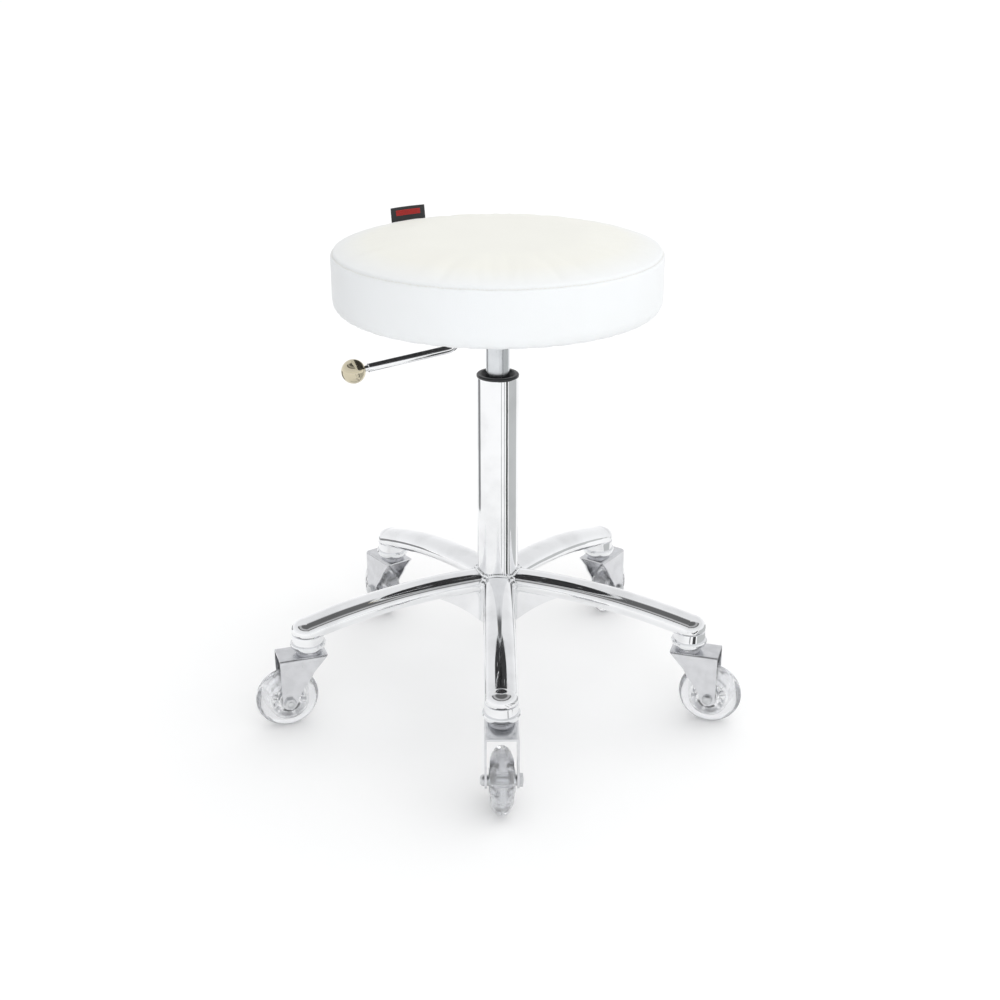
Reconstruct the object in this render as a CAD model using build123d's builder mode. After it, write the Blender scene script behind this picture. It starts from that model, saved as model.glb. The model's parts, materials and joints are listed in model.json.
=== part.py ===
from build123d import *
import math
import os

# Dentist's stool: a round padded seat on a gas lift, over a welded five-arm base on twin-plate
# swivel castors with clear wheels. Millimetres. The origin is on the floor under the column's
# axis, +Z is up, and the arm named "front" points to -Y.

os.makedirs("parts", exist_ok=True)

# ---- clearances --------------------------------------------------------------------------
running_gap = 0.05       # radial, a shaft turning or sliding in its bore
press_gap = 0.01         # radial, a part pressed or screwed into another
turning_gap = 0.3        # between flat faces of pieces that turn on each other
drop_gap = 2.0           # between the lowered cylinder and its buffer
corner_cut = 1.0         # small bevel on turned and moulded edges
end_chamfer = 0.8        # bevel on the ends of rods and bolts
cut_margin = 1.0         # how far a cutting shape runs past what it cuts

# ---- castors -----------------------------------------------------------------------------
wheel_r = 38.0
wheel_width = 29.0
tread_depth = 14.0       # radial depth of the soft tyre
crown_depth = 24.0       # half height of the ellipse that the tyre's section follows
rim_lip = 2.0            # how far the hub's rim stands in from the wheel's full width
web_thickness = 6.0
rim_thickness = 3.0
spoke_count = 6
spoke_thickness = 3.5
bearing_r = 11.0
bearing_width = 7.0
bearing_ring = 2.0       # radial width of a bearing's outer ring
shield_depth = 0.8       # how deep its shield sits below its face
boss_wall = 3.0
axle_r = 4.0
spacer_wall = 2.0
axle_head_r = 6.3
axle_head_height = 5.0
axle_head_brim = 1.2     # straight edge below the head's dome
axle_nut_flats = 13.0
axle_nut_height = 4.0
axle_tail = 0.5          # bolt end that shows past the nut
castor_trail = 29.0      # axle's distance outward of the swivel axis
fork_plate = 2.5
fork_side_gap = 2.2      # from the wheel's side to the fork's plate, filled by a spacer
fork_rear = 20.0         # reach of the fork's roof behind the swivel axis
fork_waist = 2.0         # how far in from the swivel axis the side plates narrow
fork_waist_drop = 20.5   # the waist's depth below the roof
fork_eye_margin = 2.8    # metal left around the axle bolt's head
fork_waist_heading = (0.42, -1)  # direction of the plate's rear edge at the waist
fork_eye_heading = (0.3, -1)     # and where it meets the eye round the axle
fork_bend = 3.5
fork_roof_z = 95.0
race_r = 21.5
race_foot_r = 15.0
race_height = 10.2
race_bulge = 1.6         # how far the bowl's side stands in from its rim
race_bulge_rise = 3.9
race_lip = 1.5
race_lip_bevel = 0.6
bearing_seat_inset = 1.0
stem_r = 5.5
stem_length = 22.0       # above the race, inside the base
kingpin_r = 4.5
rivet_r = 8.0
rivet_height = 3.0

# ---- five-arm base -----------------------------------------------------------------------
arm_names = ("front", "front_left", "back_left", "back_right", "front_right")
arm_count = len(arm_names)
front_azimuth = -90.0
castor_circle_r = 242.0
arm_width = 38.0
arm_height = 27.0
arm_wall = 2.0
arm_dome_step = 0.05     # how far the domed end stands proud of the tube
arm_root_z = 156.0       # height of the arm's centreline at the column
arm_drop = 32.0          # how far the arm falls on its way to the castor
socket_r = 19.0
socket_bottom_z = 108.0
socket_rise = 11.0
gusset_thickness = 5.0
gusset_reach = 55.0
gusset_sag = 3.5         # how far the gusset's lower edge bows up

# ---- column and gas lift -----------------------------------------------------------------
column_r = 25.0
column_wall = 2.0
column_bottom_z = 101.0
column_top_z = 417.0
column_rim_r = 0.6
end_plate_thickness = 3.0
bushing_length = 80.0
bushing_flange = 3.0
bushing_funnel_r = 20.5
bushing_funnel_depth = 9.0
bearing_stack = 10.0
cage_inset = 2.0         # the ball cage's set-back between the washers
buffer_height = 14.0
buffer_r = 12.0
buffer_rounding = 2.0
rod_r = 5.0
rod_tail = 5.0           # rod below the end plate
clip_thickness = 1.6
clip_r = 9.0
groove_depth = 1.0
cylinder_r = 14.0
cylinder_wall = 2.0
cylinder_head = 28.0     # solid valve block at the cylinder's top
cylinder_taper = 0.6     # radius lost along the tapered nose
seal_height = 15.0
seal_inset = 2.0
piston_height = 14.0
piston_ring_depth = 1.5
lift_stroke = 190.0
lift_reserve = 0.5       # left between piston and seal at full height

# ---- seat mechanism ----------------------------------------------------------------------
seat_bottom_z = 500.0
mechanism_azimuth = 205.0
plate_side = 170.0
plate_thickness = 2.5
plate_corner_r = 12.0
plate_window_r = 18.0
bolt_spacing = 130.0
bolt_r = 3.0
bolt_hole_gap = 0.3
bolt_head_r = 5.5
bolt_head_height = 4.0
bolt_socket_r = 2.75     # hexagonal socket, across its corners
bolt_head_floor = 1.2
bolt_tip_drop = 1.0      # from the board's top down to the bolt's tip
housing_depth = 35.0
housing_half_width = 24.0
housing_rear = 24.0
housing_front = 40.0
housing_wall = 2.0
taper_socket_r = 19.0
taper_socket_height = 26.0
taper_socket_bevel = 1.5
taper_socket_lip = 2.0   # how far it stands above the gas cylinder's top
valve_r = 3.0
valve_collar_r = 5.0
valve_collar = 3.0
valve_rise = 5.0         # valve button above the cylinder
valve_dome = 1.2
valve_play = 0.2         # between its collar and the valve block
lever_r = 5.0
lever_headroom = 2.7     # between the lever's inner end and the mount plate
lever_slot_gap = 1.5     # at each side of the lever, in the housing's slot
lever_slot_height = 20.0
lever_slot_rise = 1.0    # how far the slot's middle stands above the resting lever
lever_slot_length = 12.0
lever_tip = 9.0
lever_flat = 20.0        # where the lever's inner end starts to slope down
lever_bend = 60.0        # where it turns outward again, under the seat
lever_bend_z = 457.0
lever_bend_r = 14.0
lever_pivot = 30.0
lever_pin_r = 2.0
lever_pin_head_r = 3.5
lever_pin_head = 1.5
knob_reach = 178.8
knob_z = 446.4
knob_r = 13.8
knob_neck_r = 3.5
knob_neck = 4.0
knob_neck_depth = 8.3    # how far the neck reaches into the ball

# ---- seat --------------------------------------------------------------------------------
seat_r = 190.0
seat_thickness = 78.0
seat_foot_r = 14.0       # rounding of the seat's bottom edge
seat_seam_drop = 11.0    # top seam below the crown
seat_seam_inset = 2.0
seat_crown_r = 150.0
seat_shoulder = (-0.55, 0.83)  # direction in which the top panel leaves the seam
hem_width = 26.0
vinyl_thickness = 1.5
board_thickness = 12.0
board_inset = 14.0
nut_barrel_r = 5.0
nut_flange_r = 9.5
nut_flange = 1.5
cover_thickness = 0.8
cover_overlap = 15.0
cover_fold_gap = 0.3     # between the dust cover's step and the hem's edge
label_width = 45.0
label_height = 16.0
label_thickness = 1.6
label_azimuth = 125.5
label_lean = 25.0
label_corner_r = 1.2
label_gap = 0.2          # between the label's foot and the seam


def azimuth_of(index):
    return front_azimuth - index * 360.0 / arm_count


def radial_plane(azimuth):
    """Upright plane through the column's axis: its x runs outward and its y runs up."""
    turn = math.radians(azimuth)
    outward = (math.cos(turn), math.sin(turn), 0)
    return Plane(origin=(0, 0, 0), x_dir=outward, z_dir=(math.sin(turn), -math.cos(turn), 0))


def level_plane(azimuth, height, reach=0.0):
    """Level plane whose x runs outward along an azimuth, at a reach from the column's axis."""
    turn = math.radians(azimuth)
    outward = (math.cos(turn), math.sin(turn), 0)
    foot = (reach * outward[0], reach * outward[1], height)
    return Plane(origin=foot, x_dir=outward, z_dir=(0, 0, 1))


def side_plane(azimuth, offset):
    """A radial plane moved sideways, clockwise seen from above, by an offset."""
    return radial_plane(azimuth).offset(offset)


def upright_axis(azimuth, reach):
    """Vertical axis at a reach along an azimuth."""
    return Axis(level_plane(azimuth, 0, reach).origin, (0, 0, 1))


def save(piece, node):
    piece.part.label = node
    export_step(piece.part, f"parts/{node}.step")


# ---- sizes worked out from those above ---------------------------------------------------
arm_run = castor_circle_r - column_r
arm_bend_r = (arm_run**2 + arm_drop**2) / (2 * arm_drop)
arm_end_z = arm_root_z - arm_drop
stem_top_z = socket_bottom_z + stem_length


def arm_z(reach):
    """Height of an arm's centreline at a reach from the column's axis."""
    return arm_root_z - arm_bend_r + math.sqrt(arm_bend_r**2 - (reach - column_r) ** 2)


race_bottom_z = socket_bottom_z - race_height
bearing_seat_height = race_bottom_z - turning_gap - fork_roof_z
bearing_seat_r = race_foot_r - bearing_seat_inset
axle_z = wheel_r
spacer_length = fork_side_gap
fork_inner_half = wheel_width / 2 + fork_side_gap
fork_outer_half = fork_inner_half + fork_plate
hub_r = wheel_r - tread_depth
hub_half_width = wheel_width / 2 - rim_lip
boss_r = bearing_r + boss_wall
spacer_r = axle_r + spacer_wall

bearing_top_z = column_bottom_z + end_plate_thickness + bearing_stack
buffer_bottom_z = bearing_top_z + turning_gap
buffer_top_z = buffer_bottom_z + buffer_height
cylinder_bottom_z = buffer_top_z + drop_gap
seal_bottom_z = cylinder_bottom_z + seal_inset
seal_top_z = seal_bottom_z + seal_height
piston_bottom_z = seal_top_z + lift_stroke + lift_reserve
piston_top_z = piston_bottom_z + piston_height
cylinder_bore_r = cylinder_r - cylinder_wall
column_bore_r = column_r - column_wall

board_bottom_z = seat_bottom_z + vinyl_thickness
board_top_z = board_bottom_z + board_thickness
board_r = seat_r - board_inset
cover_bottom_z = board_bottom_z - cover_thickness
plate_top_z = cover_bottom_z
plate_bottom_z = plate_top_z - plate_thickness
housing_bottom_z = plate_bottom_z - housing_depth
lever_inner_z = plate_bottom_z - lever_headroom - lever_r
valve_top_z = lever_inner_z - lever_r - turning_gap
cylinder_top_z = valve_top_z - valve_rise
cylinder_cavity_z = cylinder_top_z - cylinder_head
taper_top_z = cylinder_top_z + taper_socket_lip
taper_bottom_z = taper_top_z - taper_socket_height
lever_slope = (lever_inner_z - lever_bend_z) / (lever_bend - lever_flat)
lever_pivot_z = lever_inner_z - lever_slope * (lever_pivot - lever_flat)


# ---- base --------------------------------------------------------------------------------
def make_arm(azimuth):
    """One oval tube: level at the column, curving down to a domed end over its castor."""
    upright = radial_plane(azimuth)
    hollow_end = castor_circle_r - socket_r - arm_wall
    with BuildPart() as arm:
        with BuildLine(upright) as centreline:
            Line((0, arm_root_z), (column_r, arm_root_z))
            TangentArc((column_r, arm_root_z), (castor_circle_r, arm_end_z), tangent=(1, 0))
        with BuildSketch(Plane(origin=centreline.line @ 0, z_dir=centreline.line % 0, x_dir=upright.z_dir)):
            Ellipse(arm_width / 2, arm_height / 2)
        sweep(path=centreline.line)
        with BuildSketch(upright):
            with Locations((castor_circle_r, arm_end_z)):
                Ellipse(arm_width / 2 + arm_dome_step, arm_height / 2 + arm_dome_step)
            with Locations((castor_circle_r - arm_width, arm_end_z)):
                Rectangle(2 * arm_width, arm_height + cut_margin, mode=Mode.SUBTRACT)
        revolve(axis=upright_axis(azimuth, castor_circle_r))
        with BuildLine(upright) as inner_line:
            Line((0, arm_root_z), (column_r, arm_root_z))
            TangentArc((column_r, arm_root_z), (hollow_end, arm_z(hollow_end)), tangent=(1, 0))
        with BuildSketch(Plane(origin=inner_line.line @ 0, z_dir=inner_line.line % 0, x_dir=upright.z_dir)):
            Ellipse(arm_width / 2 - arm_wall, arm_height / 2 - arm_wall)
        sweep(path=inner_line.line, mode=Mode.SUBTRACT)
        with BuildSketch(Plane.XY.offset(column_bottom_z)):
            Circle(column_r)
        extrude(amount=column_top_z - column_bottom_z, mode=Mode.SUBTRACT)
        with BuildSketch(level_plane(azimuth, column_bottom_z)):
            reach = castor_circle_r + arm_width
            half = reach * math.tan(math.pi / arm_count)
            Polygon((0, 0), (reach, -half), (reach, half), align=None)
        extrude(amount=arm_root_z, mode=Mode.INTERSECT)
        with BuildSketch(level_plane(azimuth, column_bottom_z, castor_circle_r)):
            Circle(stem_r + press_gap)
        extrude(amount=stem_top_z + cut_margin - column_bottom_z, mode=Mode.SUBTRACT)
    return arm


arms = []
for index, place in enumerate(arm_names):
    arm = make_arm(azimuth_of(index))
    save(arm, f"base_arm_{place}")
    arms.append(arm)

# Short upright tubes welded under the arms' ends, which hold the castor stems.
with BuildPart() as castor_sockets:
    for index in range(arm_count):
        with BuildSketch(level_plane(azimuth_of(index), socket_bottom_z, castor_circle_r)):
            Circle(socket_r)
            Circle(stem_r + press_gap, mode=Mode.SUBTRACT)
        extrude(amount=socket_rise)
        add(arms[index].part, mode=Mode.SUBTRACT)
        with BuildSketch(level_plane(azimuth_of(index), socket_bottom_z, castor_circle_r)):
            Circle(stem_r + press_gap)
        extrude(amount=stem_length, mode=Mode.SUBTRACT)
save(castor_sockets, "castor_sockets")

# Thin webs that stiffen the weld under each arm.
with BuildPart() as arm_gussets:
    for index in range(arm_count):
        tip = column_r + gusset_reach
        under_r = arm_bend_r - arm_height / 2
        tip_z = arm_root_z - arm_bend_r + math.sqrt(under_r**2 - gusset_reach**2)
        root_z = arm_root_z - arm_height / 2
        middle = (column_r + gusset_reach / 2, (tip_z + column_bottom_z) / 2 + gusset_sag)
        heel = column_r - 2 * cut_margin
        with BuildSketch(side_plane(azimuth_of(index), -gusset_thickness / 2)):
            with BuildLine():
                Line((heel, column_bottom_z), (heel, root_z))
                Line((heel, root_z), (column_r, root_z))
                TangentArc((column_r, root_z), (tip, tip_z), tangent=(1, 0))
                ThreePointArc((tip, tip_z), middle, (column_r, column_bottom_z))
                Line((column_r, column_bottom_z), (heel, column_bottom_z))
            make_face()
        extrude(amount=gusset_thickness)
    with BuildSketch(Plane.XY.offset(column_bottom_z - cut_margin)):
        Circle(column_r)
    extrude(amount=arm_root_z, mode=Mode.SUBTRACT)
save(arm_gussets, "arm_gussets")

# ---- column ------------------------------------------------------------------------------
with BuildPart() as column_tube:
    with BuildSketch(Plane.XY.offset(column_bottom_z)):
        Circle(column_r)
        Circle(column_bore_r, mode=Mode.SUBTRACT)
    extrude(amount=column_top_z - column_bottom_z)
    top_edges = column_tube.edges().filter_by(GeomType.CIRCLE).group_by(Axis.Z)[-1]
    fillet(top_edges.sort_by(SortBy.RADIUS)[-1:], column_rim_r)
save(column_tube, "column_tube")

with BuildPart() as column_end_plate:
    with BuildSketch(Plane.XY.offset(column_bottom_z)):
        Circle(column_bore_r - press_gap)
        Circle(rod_r + running_gap, mode=Mode.SUBTRACT)
    extrude(amount=end_plate_thickness)
save(column_end_plate, "column_end_plate")

with BuildPart() as guide_bushing:
    with BuildSketch(Plane.XZ):
        with BuildLine():
            bore = cylinder_r + running_gap
            flange_top_z = column_top_z + bushing_flange
            Polyline(
                (bore, column_top_z - bushing_length),
                (column_bore_r - press_gap, column_top_z - bushing_length),
                (column_bore_r - press_gap, column_top_z),
                (column_r, column_top_z),
                (column_r, flange_top_z - corner_cut),
                (column_r - corner_cut, flange_top_z),
                (bushing_funnel_r, flange_top_z),
                (bore, flange_top_z - bushing_funnel_depth),
                close=True,
            )
        make_face()
    revolve(axis=Axis.Z)
save(guide_bushing, "guide_bushing")

with BuildPart() as thrust_bearing:
    with BuildSketch(Plane.XZ):
        with BuildLine():
            low = column_bottom_z + end_plate_thickness
            washer = bearing_stack / 5
            Polyline(
                (rod_r + running_gap, low),
                (buffer_r, low),
                (buffer_r, low + washer),
                (buffer_r - cage_inset, low + washer),
                (buffer_r - cage_inset, bearing_top_z - washer),
                (buffer_r, bearing_top_z - washer),
                (buffer_r, bearing_top_z),
                (rod_r + running_gap, bearing_top_z),
                close=True,
            )
        make_face()
    revolve(axis=Axis.Z)
save(thrust_bearing, "thrust_bearing")

# ---- piston rod and what rides on it -----------------------------------------------------
clip_top_z = column_bottom_z - turning_gap
clip_bottom_z = clip_top_z - clip_thickness
with BuildPart() as piston_rod:
    with BuildSketch(Plane.XY.offset(column_bottom_z - rod_tail)):
        Circle(rod_r)
    extrude(amount=piston_top_z - column_bottom_z + rod_tail)
    chamfer(piston_rod.edges().group_by(Axis.Z)[0], end_chamfer)
    with BuildSketch(Plane.XY.offset(clip_bottom_z)):
        Circle(rod_r + cut_margin)
        Circle(rod_r - groove_depth, mode=Mode.SUBTRACT)
    extrude(amount=clip_thickness, mode=Mode.SUBTRACT)
save(piston_rod, "piston_rod")

with BuildPart() as retaining_clip:
    with BuildSketch(Plane.XY.offset(clip_bottom_z)):
        Circle(clip_r)
        Circle(rod_r - groove_depth + press_gap, mode=Mode.SUBTRACT)
        with Locations((clip_r, 0)):
            Rectangle(2 * clip_r, rod_r, mode=Mode.SUBTRACT)
    extrude(amount=clip_thickness)
save(retaining_clip, "retaining_clip")

with BuildPart() as lift_buffer:
    with BuildSketch(Plane.XY.offset(buffer_bottom_z)):
        Circle(buffer_r)
        Circle(rod_r + press_gap, mode=Mode.SUBTRACT)
    extrude(amount=buffer_height)
    fillet(lift_buffer.edges().filter_by(GeomType.CIRCLE).sort_by(SortBy.RADIUS)[-2:], buffer_rounding)
save(lift_buffer, "lift_buffer")

with BuildPart() as piston:
    with BuildSketch(Plane.XY.offset(piston_bottom_z)):
        Circle(cylinder_bore_r - running_gap)
        Circle(rod_r + press_gap, mode=Mode.SUBTRACT)
    extrude(amount=piston_height)
    with BuildSketch(Plane.XY.offset(piston_bottom_z + piston_height / 3)):
        Circle(cylinder_bore_r)
        Circle(cylinder_bore_r - piston_ring_depth, mode=Mode.SUBTRACT)
    extrude(amount=piston_height / 3, mode=Mode.SUBTRACT)
save(piston, "piston")

# ---- gas cylinder ------------------------------------------------------------------------
with BuildPart() as gas_cylinder:
    with BuildSketch(Plane.XZ):
        with BuildLine():
            Polyline(
                (cylinder_bore_r, cylinder_bottom_z),
                (cylinder_r - corner_cut, cylinder_bottom_z),
                (cylinder_r, cylinder_bottom_z + corner_cut),
                (cylinder_r, taper_bottom_z),
                (cylinder_r - cylinder_taper, cylinder_top_z),
                (valve_r + running_gap, cylinder_top_z),
                (valve_r + running_gap, cylinder_cavity_z),
                (cylinder_bore_r, cylinder_cavity_z),
                close=True,
            )
        make_face()
    revolve(axis=Axis.Z)
save(gas_cylinder, "gas_cylinder")

with BuildPart() as cylinder_seal:
    with BuildSketch(Plane.XY.offset(seal_bottom_z)):
        Circle(cylinder_bore_r - press_gap)
        Circle(rod_r + running_gap, mode=Mode.SUBTRACT)
    extrude(amount=seal_height)
save(cylinder_seal, "cylinder_seal")

with BuildPart() as valve_button:
    with BuildSketch(Plane.XZ):
        with BuildLine():
            collar_top_z = cylinder_cavity_z - valve_play
            Polyline(
                (0, valve_top_z),
                (0, collar_top_z - valve_collar),
                (valve_collar_r, collar_top_z - valve_collar),
                (valve_collar_r, collar_top_z),
                (valve_r, collar_top_z),
                (valve_r, valve_top_z),
                close=True,
            )
        make_face()
    revolve(axis=Axis.Z)
    fillet(valve_button.edges().filter_by(GeomType.CIRCLE).sort_by(Axis.Z)[-1], valve_dome)
save(valve_button, "valve_button")

# ---- seat mechanism ----------------------------------------------------------------------
with BuildPart() as taper_socket:
    with BuildSketch(Plane.XZ):
        with BuildLine():
            taper_per_mm = cylinder_taper / (cylinder_top_z - taper_bottom_z)
            fit_r = cylinder_r + press_gap
            Polyline(
                (fit_r, taper_bottom_z),
                (taper_socket_r - taper_socket_bevel, taper_bottom_z),
                (taper_socket_r, taper_bottom_z + taper_socket_bevel),
                (taper_socket_r, taper_top_z),
                (fit_r - taper_per_mm * taper_socket_height, taper_top_z),
                close=True,
            )
        make_face()
    revolve(axis=Axis.Z)
save(taper_socket, "taper_socket")

housing_length = housing_front + housing_rear
housing_middle = (housing_front - housing_rear) / 2
with BuildPart() as mechanism_housing:
    with BuildSketch(level_plane(mechanism_azimuth, housing_bottom_z, housing_middle)):
        RectangleRounded(housing_length, 2 * housing_half_width, 2 * housing_wall)
    extrude(amount=housing_depth)
    with BuildSketch(level_plane(mechanism_azimuth, housing_bottom_z + housing_wall, housing_middle)):
        RectangleRounded(
            housing_length - 2 * housing_wall, 2 * (housing_half_width - housing_wall), housing_wall
        )
    extrude(amount=housing_depth, mode=Mode.SUBTRACT)
    with BuildSketch(Plane.XY.offset(housing_bottom_z)):
        Circle(taper_socket_r + press_gap)
    extrude(amount=housing_wall, mode=Mode.SUBTRACT)
    wall_middle = housing_front - housing_wall / 2
    slot_z = lever_pivot_z - lever_slope * (wall_middle - lever_pivot)
    with BuildSketch(radial_plane(mechanism_azimuth)):
        with Locations((housing_front, slot_z + lever_slot_rise)):
            Rectangle(lever_slot_length, lever_slot_height)
    extrude(amount=lever_r + lever_slot_gap, both=True, mode=Mode.SUBTRACT)
    with BuildSketch(radial_plane(mechanism_azimuth)):
        with Locations((lever_pivot, lever_pivot_z)):
            Circle(lever_pin_r + press_gap)
    extrude(amount=housing_half_width, both=True, mode=Mode.SUBTRACT)
save(mechanism_housing, "mechanism_housing")

with BuildPart() as mount_plate:
    with BuildSketch(level_plane(mechanism_azimuth, plate_bottom_z)):
        RectangleRounded(plate_side, plate_side, plate_corner_r)
        Circle(plate_window_r, mode=Mode.SUBTRACT)
        with GridLocations(bolt_spacing, bolt_spacing, 2, 2):
            Circle(bolt_r + bolt_hole_gap, mode=Mode.SUBTRACT)
    extrude(amount=plate_thickness)
save(mount_plate, "mount_plate")

with BuildPart() as lever_pin:
    with BuildSketch(side_plane(mechanism_azimuth, -housing_half_width - lever_pin_head)):
        with Locations((lever_pivot, lever_pivot_z)):
            Circle(lever_pin_r)
    extrude(amount=2 * housing_half_width + 2 * lever_pin_head)
    for start in (-housing_half_width - lever_pin_head, housing_half_width):
        with BuildSketch(side_plane(mechanism_azimuth, start)):
            with Locations((lever_pivot, lever_pivot_z)):
                Circle(lever_pin_head_r)
        extrude(amount=lever_pin_head)
save(lever_pin, "lever_pin")

# The lever is one bent bar: its flat inner end lies over the valve button, and it passes
# down through the housing's slot and out under the seat to the ball knob.
knob_slope = (lever_bend_z - knob_z) / (knob_reach - lever_bend)
neck_start = knob_reach - knob_r - knob_neck
neck_start_z = knob_z + knob_slope * (knob_reach - neck_start)
with BuildPart() as lever_rod:
    with BuildLine(radial_plane(mechanism_azimuth)) as lever_line:
        FilletPolyline(
            (-lever_tip, lever_inner_z),
            (lever_flat, lever_inner_z),
            (lever_bend, lever_bend_z),
            (neck_start, neck_start_z),
            radius=lever_bend_r,
        )
    lever_side = radial_plane(mechanism_azimuth).z_dir
    with BuildSketch(Plane(origin=lever_line.line @ 0, z_dir=lever_line.line % 0, x_dir=lever_side)):
        Circle(lever_r)
    sweep(path=lever_line.line)
    neck_plane = Plane(origin=lever_line.line @ 1, z_dir=lever_line.line % 1, x_dir=lever_side)
    with BuildSketch(neck_plane):
        Circle(knob_neck_r)
    extrude(amount=knob_neck + knob_neck_depth)
    with BuildSketch(radial_plane(mechanism_azimuth)):
        with Locations((lever_pivot, lever_pivot_z)):
            Circle(lever_pin_r + running_gap)
    extrude(amount=2 * lever_r, both=True, mode=Mode.SUBTRACT)
save(lever_rod, "lever_rod")

with BuildPart() as lever_knob:
    with BuildSketch(radial_plane(mechanism_azimuth)):
        with Locations((knob_reach, knob_z)):
            Circle(knob_r)
            Rectangle(2 * knob_r, 2 * knob_r, align=(Align.MIN, Align.CENTER), mode=Mode.SUBTRACT)
    revolve(axis=upright_axis(mechanism_azimuth, knob_reach))
    with BuildSketch(neck_plane):
        Circle(knob_neck_r + press_gap)
    extrude(amount=knob_neck + knob_neck_depth, mode=Mode.SUBTRACT)
save(lever_knob, "lever_knob")

# ---- seat --------------------------------------------------------------------------------
crown_z = seat_bottom_z + seat_thickness
seam_z = crown_z - seat_seam_drop
with BuildPart() as seat_board:
    with BuildSketch(level_plane(mechanism_azimuth, board_bottom_z)):
        Circle(board_r)
    extrude(amount=board_thickness)
    with BuildSketch(level_plane(mechanism_azimuth, board_bottom_z)):
        with GridLocations(bolt_spacing, bolt_spacing, 2, 2):
            Circle(nut_barrel_r + press_gap)
    extrude(amount=board_thickness, mode=Mode.SUBTRACT)
    with BuildSketch(level_plane(mechanism_azimuth, board_top_z - nut_flange)):
        with GridLocations(bolt_spacing, bolt_spacing, 2, 2):
            Circle(nut_flange_r + press_gap)
    extrude(amount=nut_flange, mode=Mode.SUBTRACT)
save(seat_board, "seat_board")

with BuildPart() as tee_nuts:
    with BuildSketch(level_plane(mechanism_azimuth, board_bottom_z + nut_flange)):
        with GridLocations(bolt_spacing, bolt_spacing, 2, 2):
            Circle(nut_barrel_r)
    extrude(amount=board_thickness - nut_flange)
    with BuildSketch(level_plane(mechanism_azimuth, board_top_z - nut_flange)):
        with GridLocations(bolt_spacing, bolt_spacing, 2, 2):
            Circle(nut_flange_r)
    extrude(amount=nut_flange)
    with BuildSketch(level_plane(mechanism_azimuth, board_bottom_z)):
        with GridLocations(bolt_spacing, bolt_spacing, 2, 2):
            Circle(bolt_r + press_gap)
    extrude(amount=board_thickness, mode=Mode.SUBTRACT)
save(tee_nuts, "tee_nuts")

with BuildPart() as plate_screws:
    with BuildSketch(level_plane(mechanism_azimuth, plate_bottom_z - bolt_head_height)):
        with GridLocations(bolt_spacing, bolt_spacing, 2, 2):
            Circle(bolt_head_r)
            RegularPolygon(bolt_socket_r, 6, mode=Mode.SUBTRACT)
    extrude(amount=bolt_head_height - bolt_head_floor)
    with BuildSketch(level_plane(mechanism_azimuth, plate_bottom_z - bolt_head_floor)):
        with GridLocations(bolt_spacing, bolt_spacing, 2, 2):
            Circle(bolt_head_r)
    extrude(amount=bolt_head_floor)
    with BuildSketch(level_plane(mechanism_azimuth, plate_bottom_z)):
        with GridLocations(bolt_spacing, bolt_spacing, 2, 2):
            Circle(bolt_r)
    extrude(amount=board_top_z - bolt_tip_drop - plate_bottom_z)
save(plate_screws, "plate_screws")

with BuildPart() as under_cover:
    with BuildSketch(Plane.XZ):
        with BuildLine():
            hem_r = board_r - hem_width
            cover_r = hem_r + cover_overlap
            step_r = hem_r - cover_fold_gap
            Polyline(
                (0, board_bottom_z),
                (step_r, board_bottom_z),
                (step_r, seat_bottom_z),
                (cover_r, seat_bottom_z),
                (cover_r, seat_bottom_z - cover_thickness),
                (step_r - cover_thickness, seat_bottom_z - cover_thickness),
                (step_r - cover_thickness, cover_bottom_z),
                (0, cover_bottom_z),
                close=True,
            )
        make_face()
    revolve(axis=Axis.Z)
    with BuildSketch(level_plane(mechanism_azimuth, seat_bottom_z - cut_margin)):
        with GridLocations(bolt_spacing, bolt_spacing, 2, 2):
            Circle(bolt_r + bolt_hole_gap)
    extrude(amount=vinyl_thickness + 2 * cut_margin, mode=Mode.SUBTRACT)
save(under_cover, "under_cover")

# Foam and vinyl as one plain closed form, wrapped round the board with a hem below it.
seam_r = seat_r - seat_seam_inset
with BuildPart() as seat_cushion:
    with BuildSketch(Plane.XZ):
        with BuildLine():
            Polyline(
                (0, crown_z),
                (0, board_top_z),
                (board_r, board_top_z),
                (board_r, board_bottom_z),
                (hem_r, board_bottom_z),
                (hem_r, seat_bottom_z),
                (seat_r - seat_foot_r, seat_bottom_z),
            )
            foot_top_z = seat_bottom_z + seat_foot_r
            RadiusArc((seat_r - seat_foot_r, seat_bottom_z), (seat_r, foot_top_z), -seat_foot_r)
            Line((seat_r, foot_top_z), (seat_r, seam_z - seat_seam_inset))
            Line((seat_r, seam_z - seat_seam_inset), (seam_r, seam_z))
            Spline((seam_r, seam_z), (seat_crown_r, crown_z), tangents=(seat_shoulder, (-1, 0)))
            Line((seat_crown_r, crown_z), (0, crown_z))
        make_face()
    revolve(axis=Axis.Z)
save(seat_cushion, "seat_cushion")

label_turn = math.radians(label_azimuth)
label_out = Vector(math.cos(label_turn), math.sin(label_turn), 0)
label_along = Vector(-math.sin(label_turn), math.cos(label_turn), 0)
lean = math.radians(label_lean)
label_face = label_out * math.cos(lean) - Vector(0, 0, math.sin(lean))
label_foot = label_out * (seat_r + label_gap) + Vector(0, 0, seam_z)
with BuildPart() as seat_label:
    with BuildSketch(Plane(origin=label_foot, x_dir=label_along, z_dir=label_face)):
        RectangleRounded(label_width, label_height, label_corner_r, align=(Align.CENTER, Align.MIN))
    extrude(amount=label_thickness)
save(seat_label, "seat_label")


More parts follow.
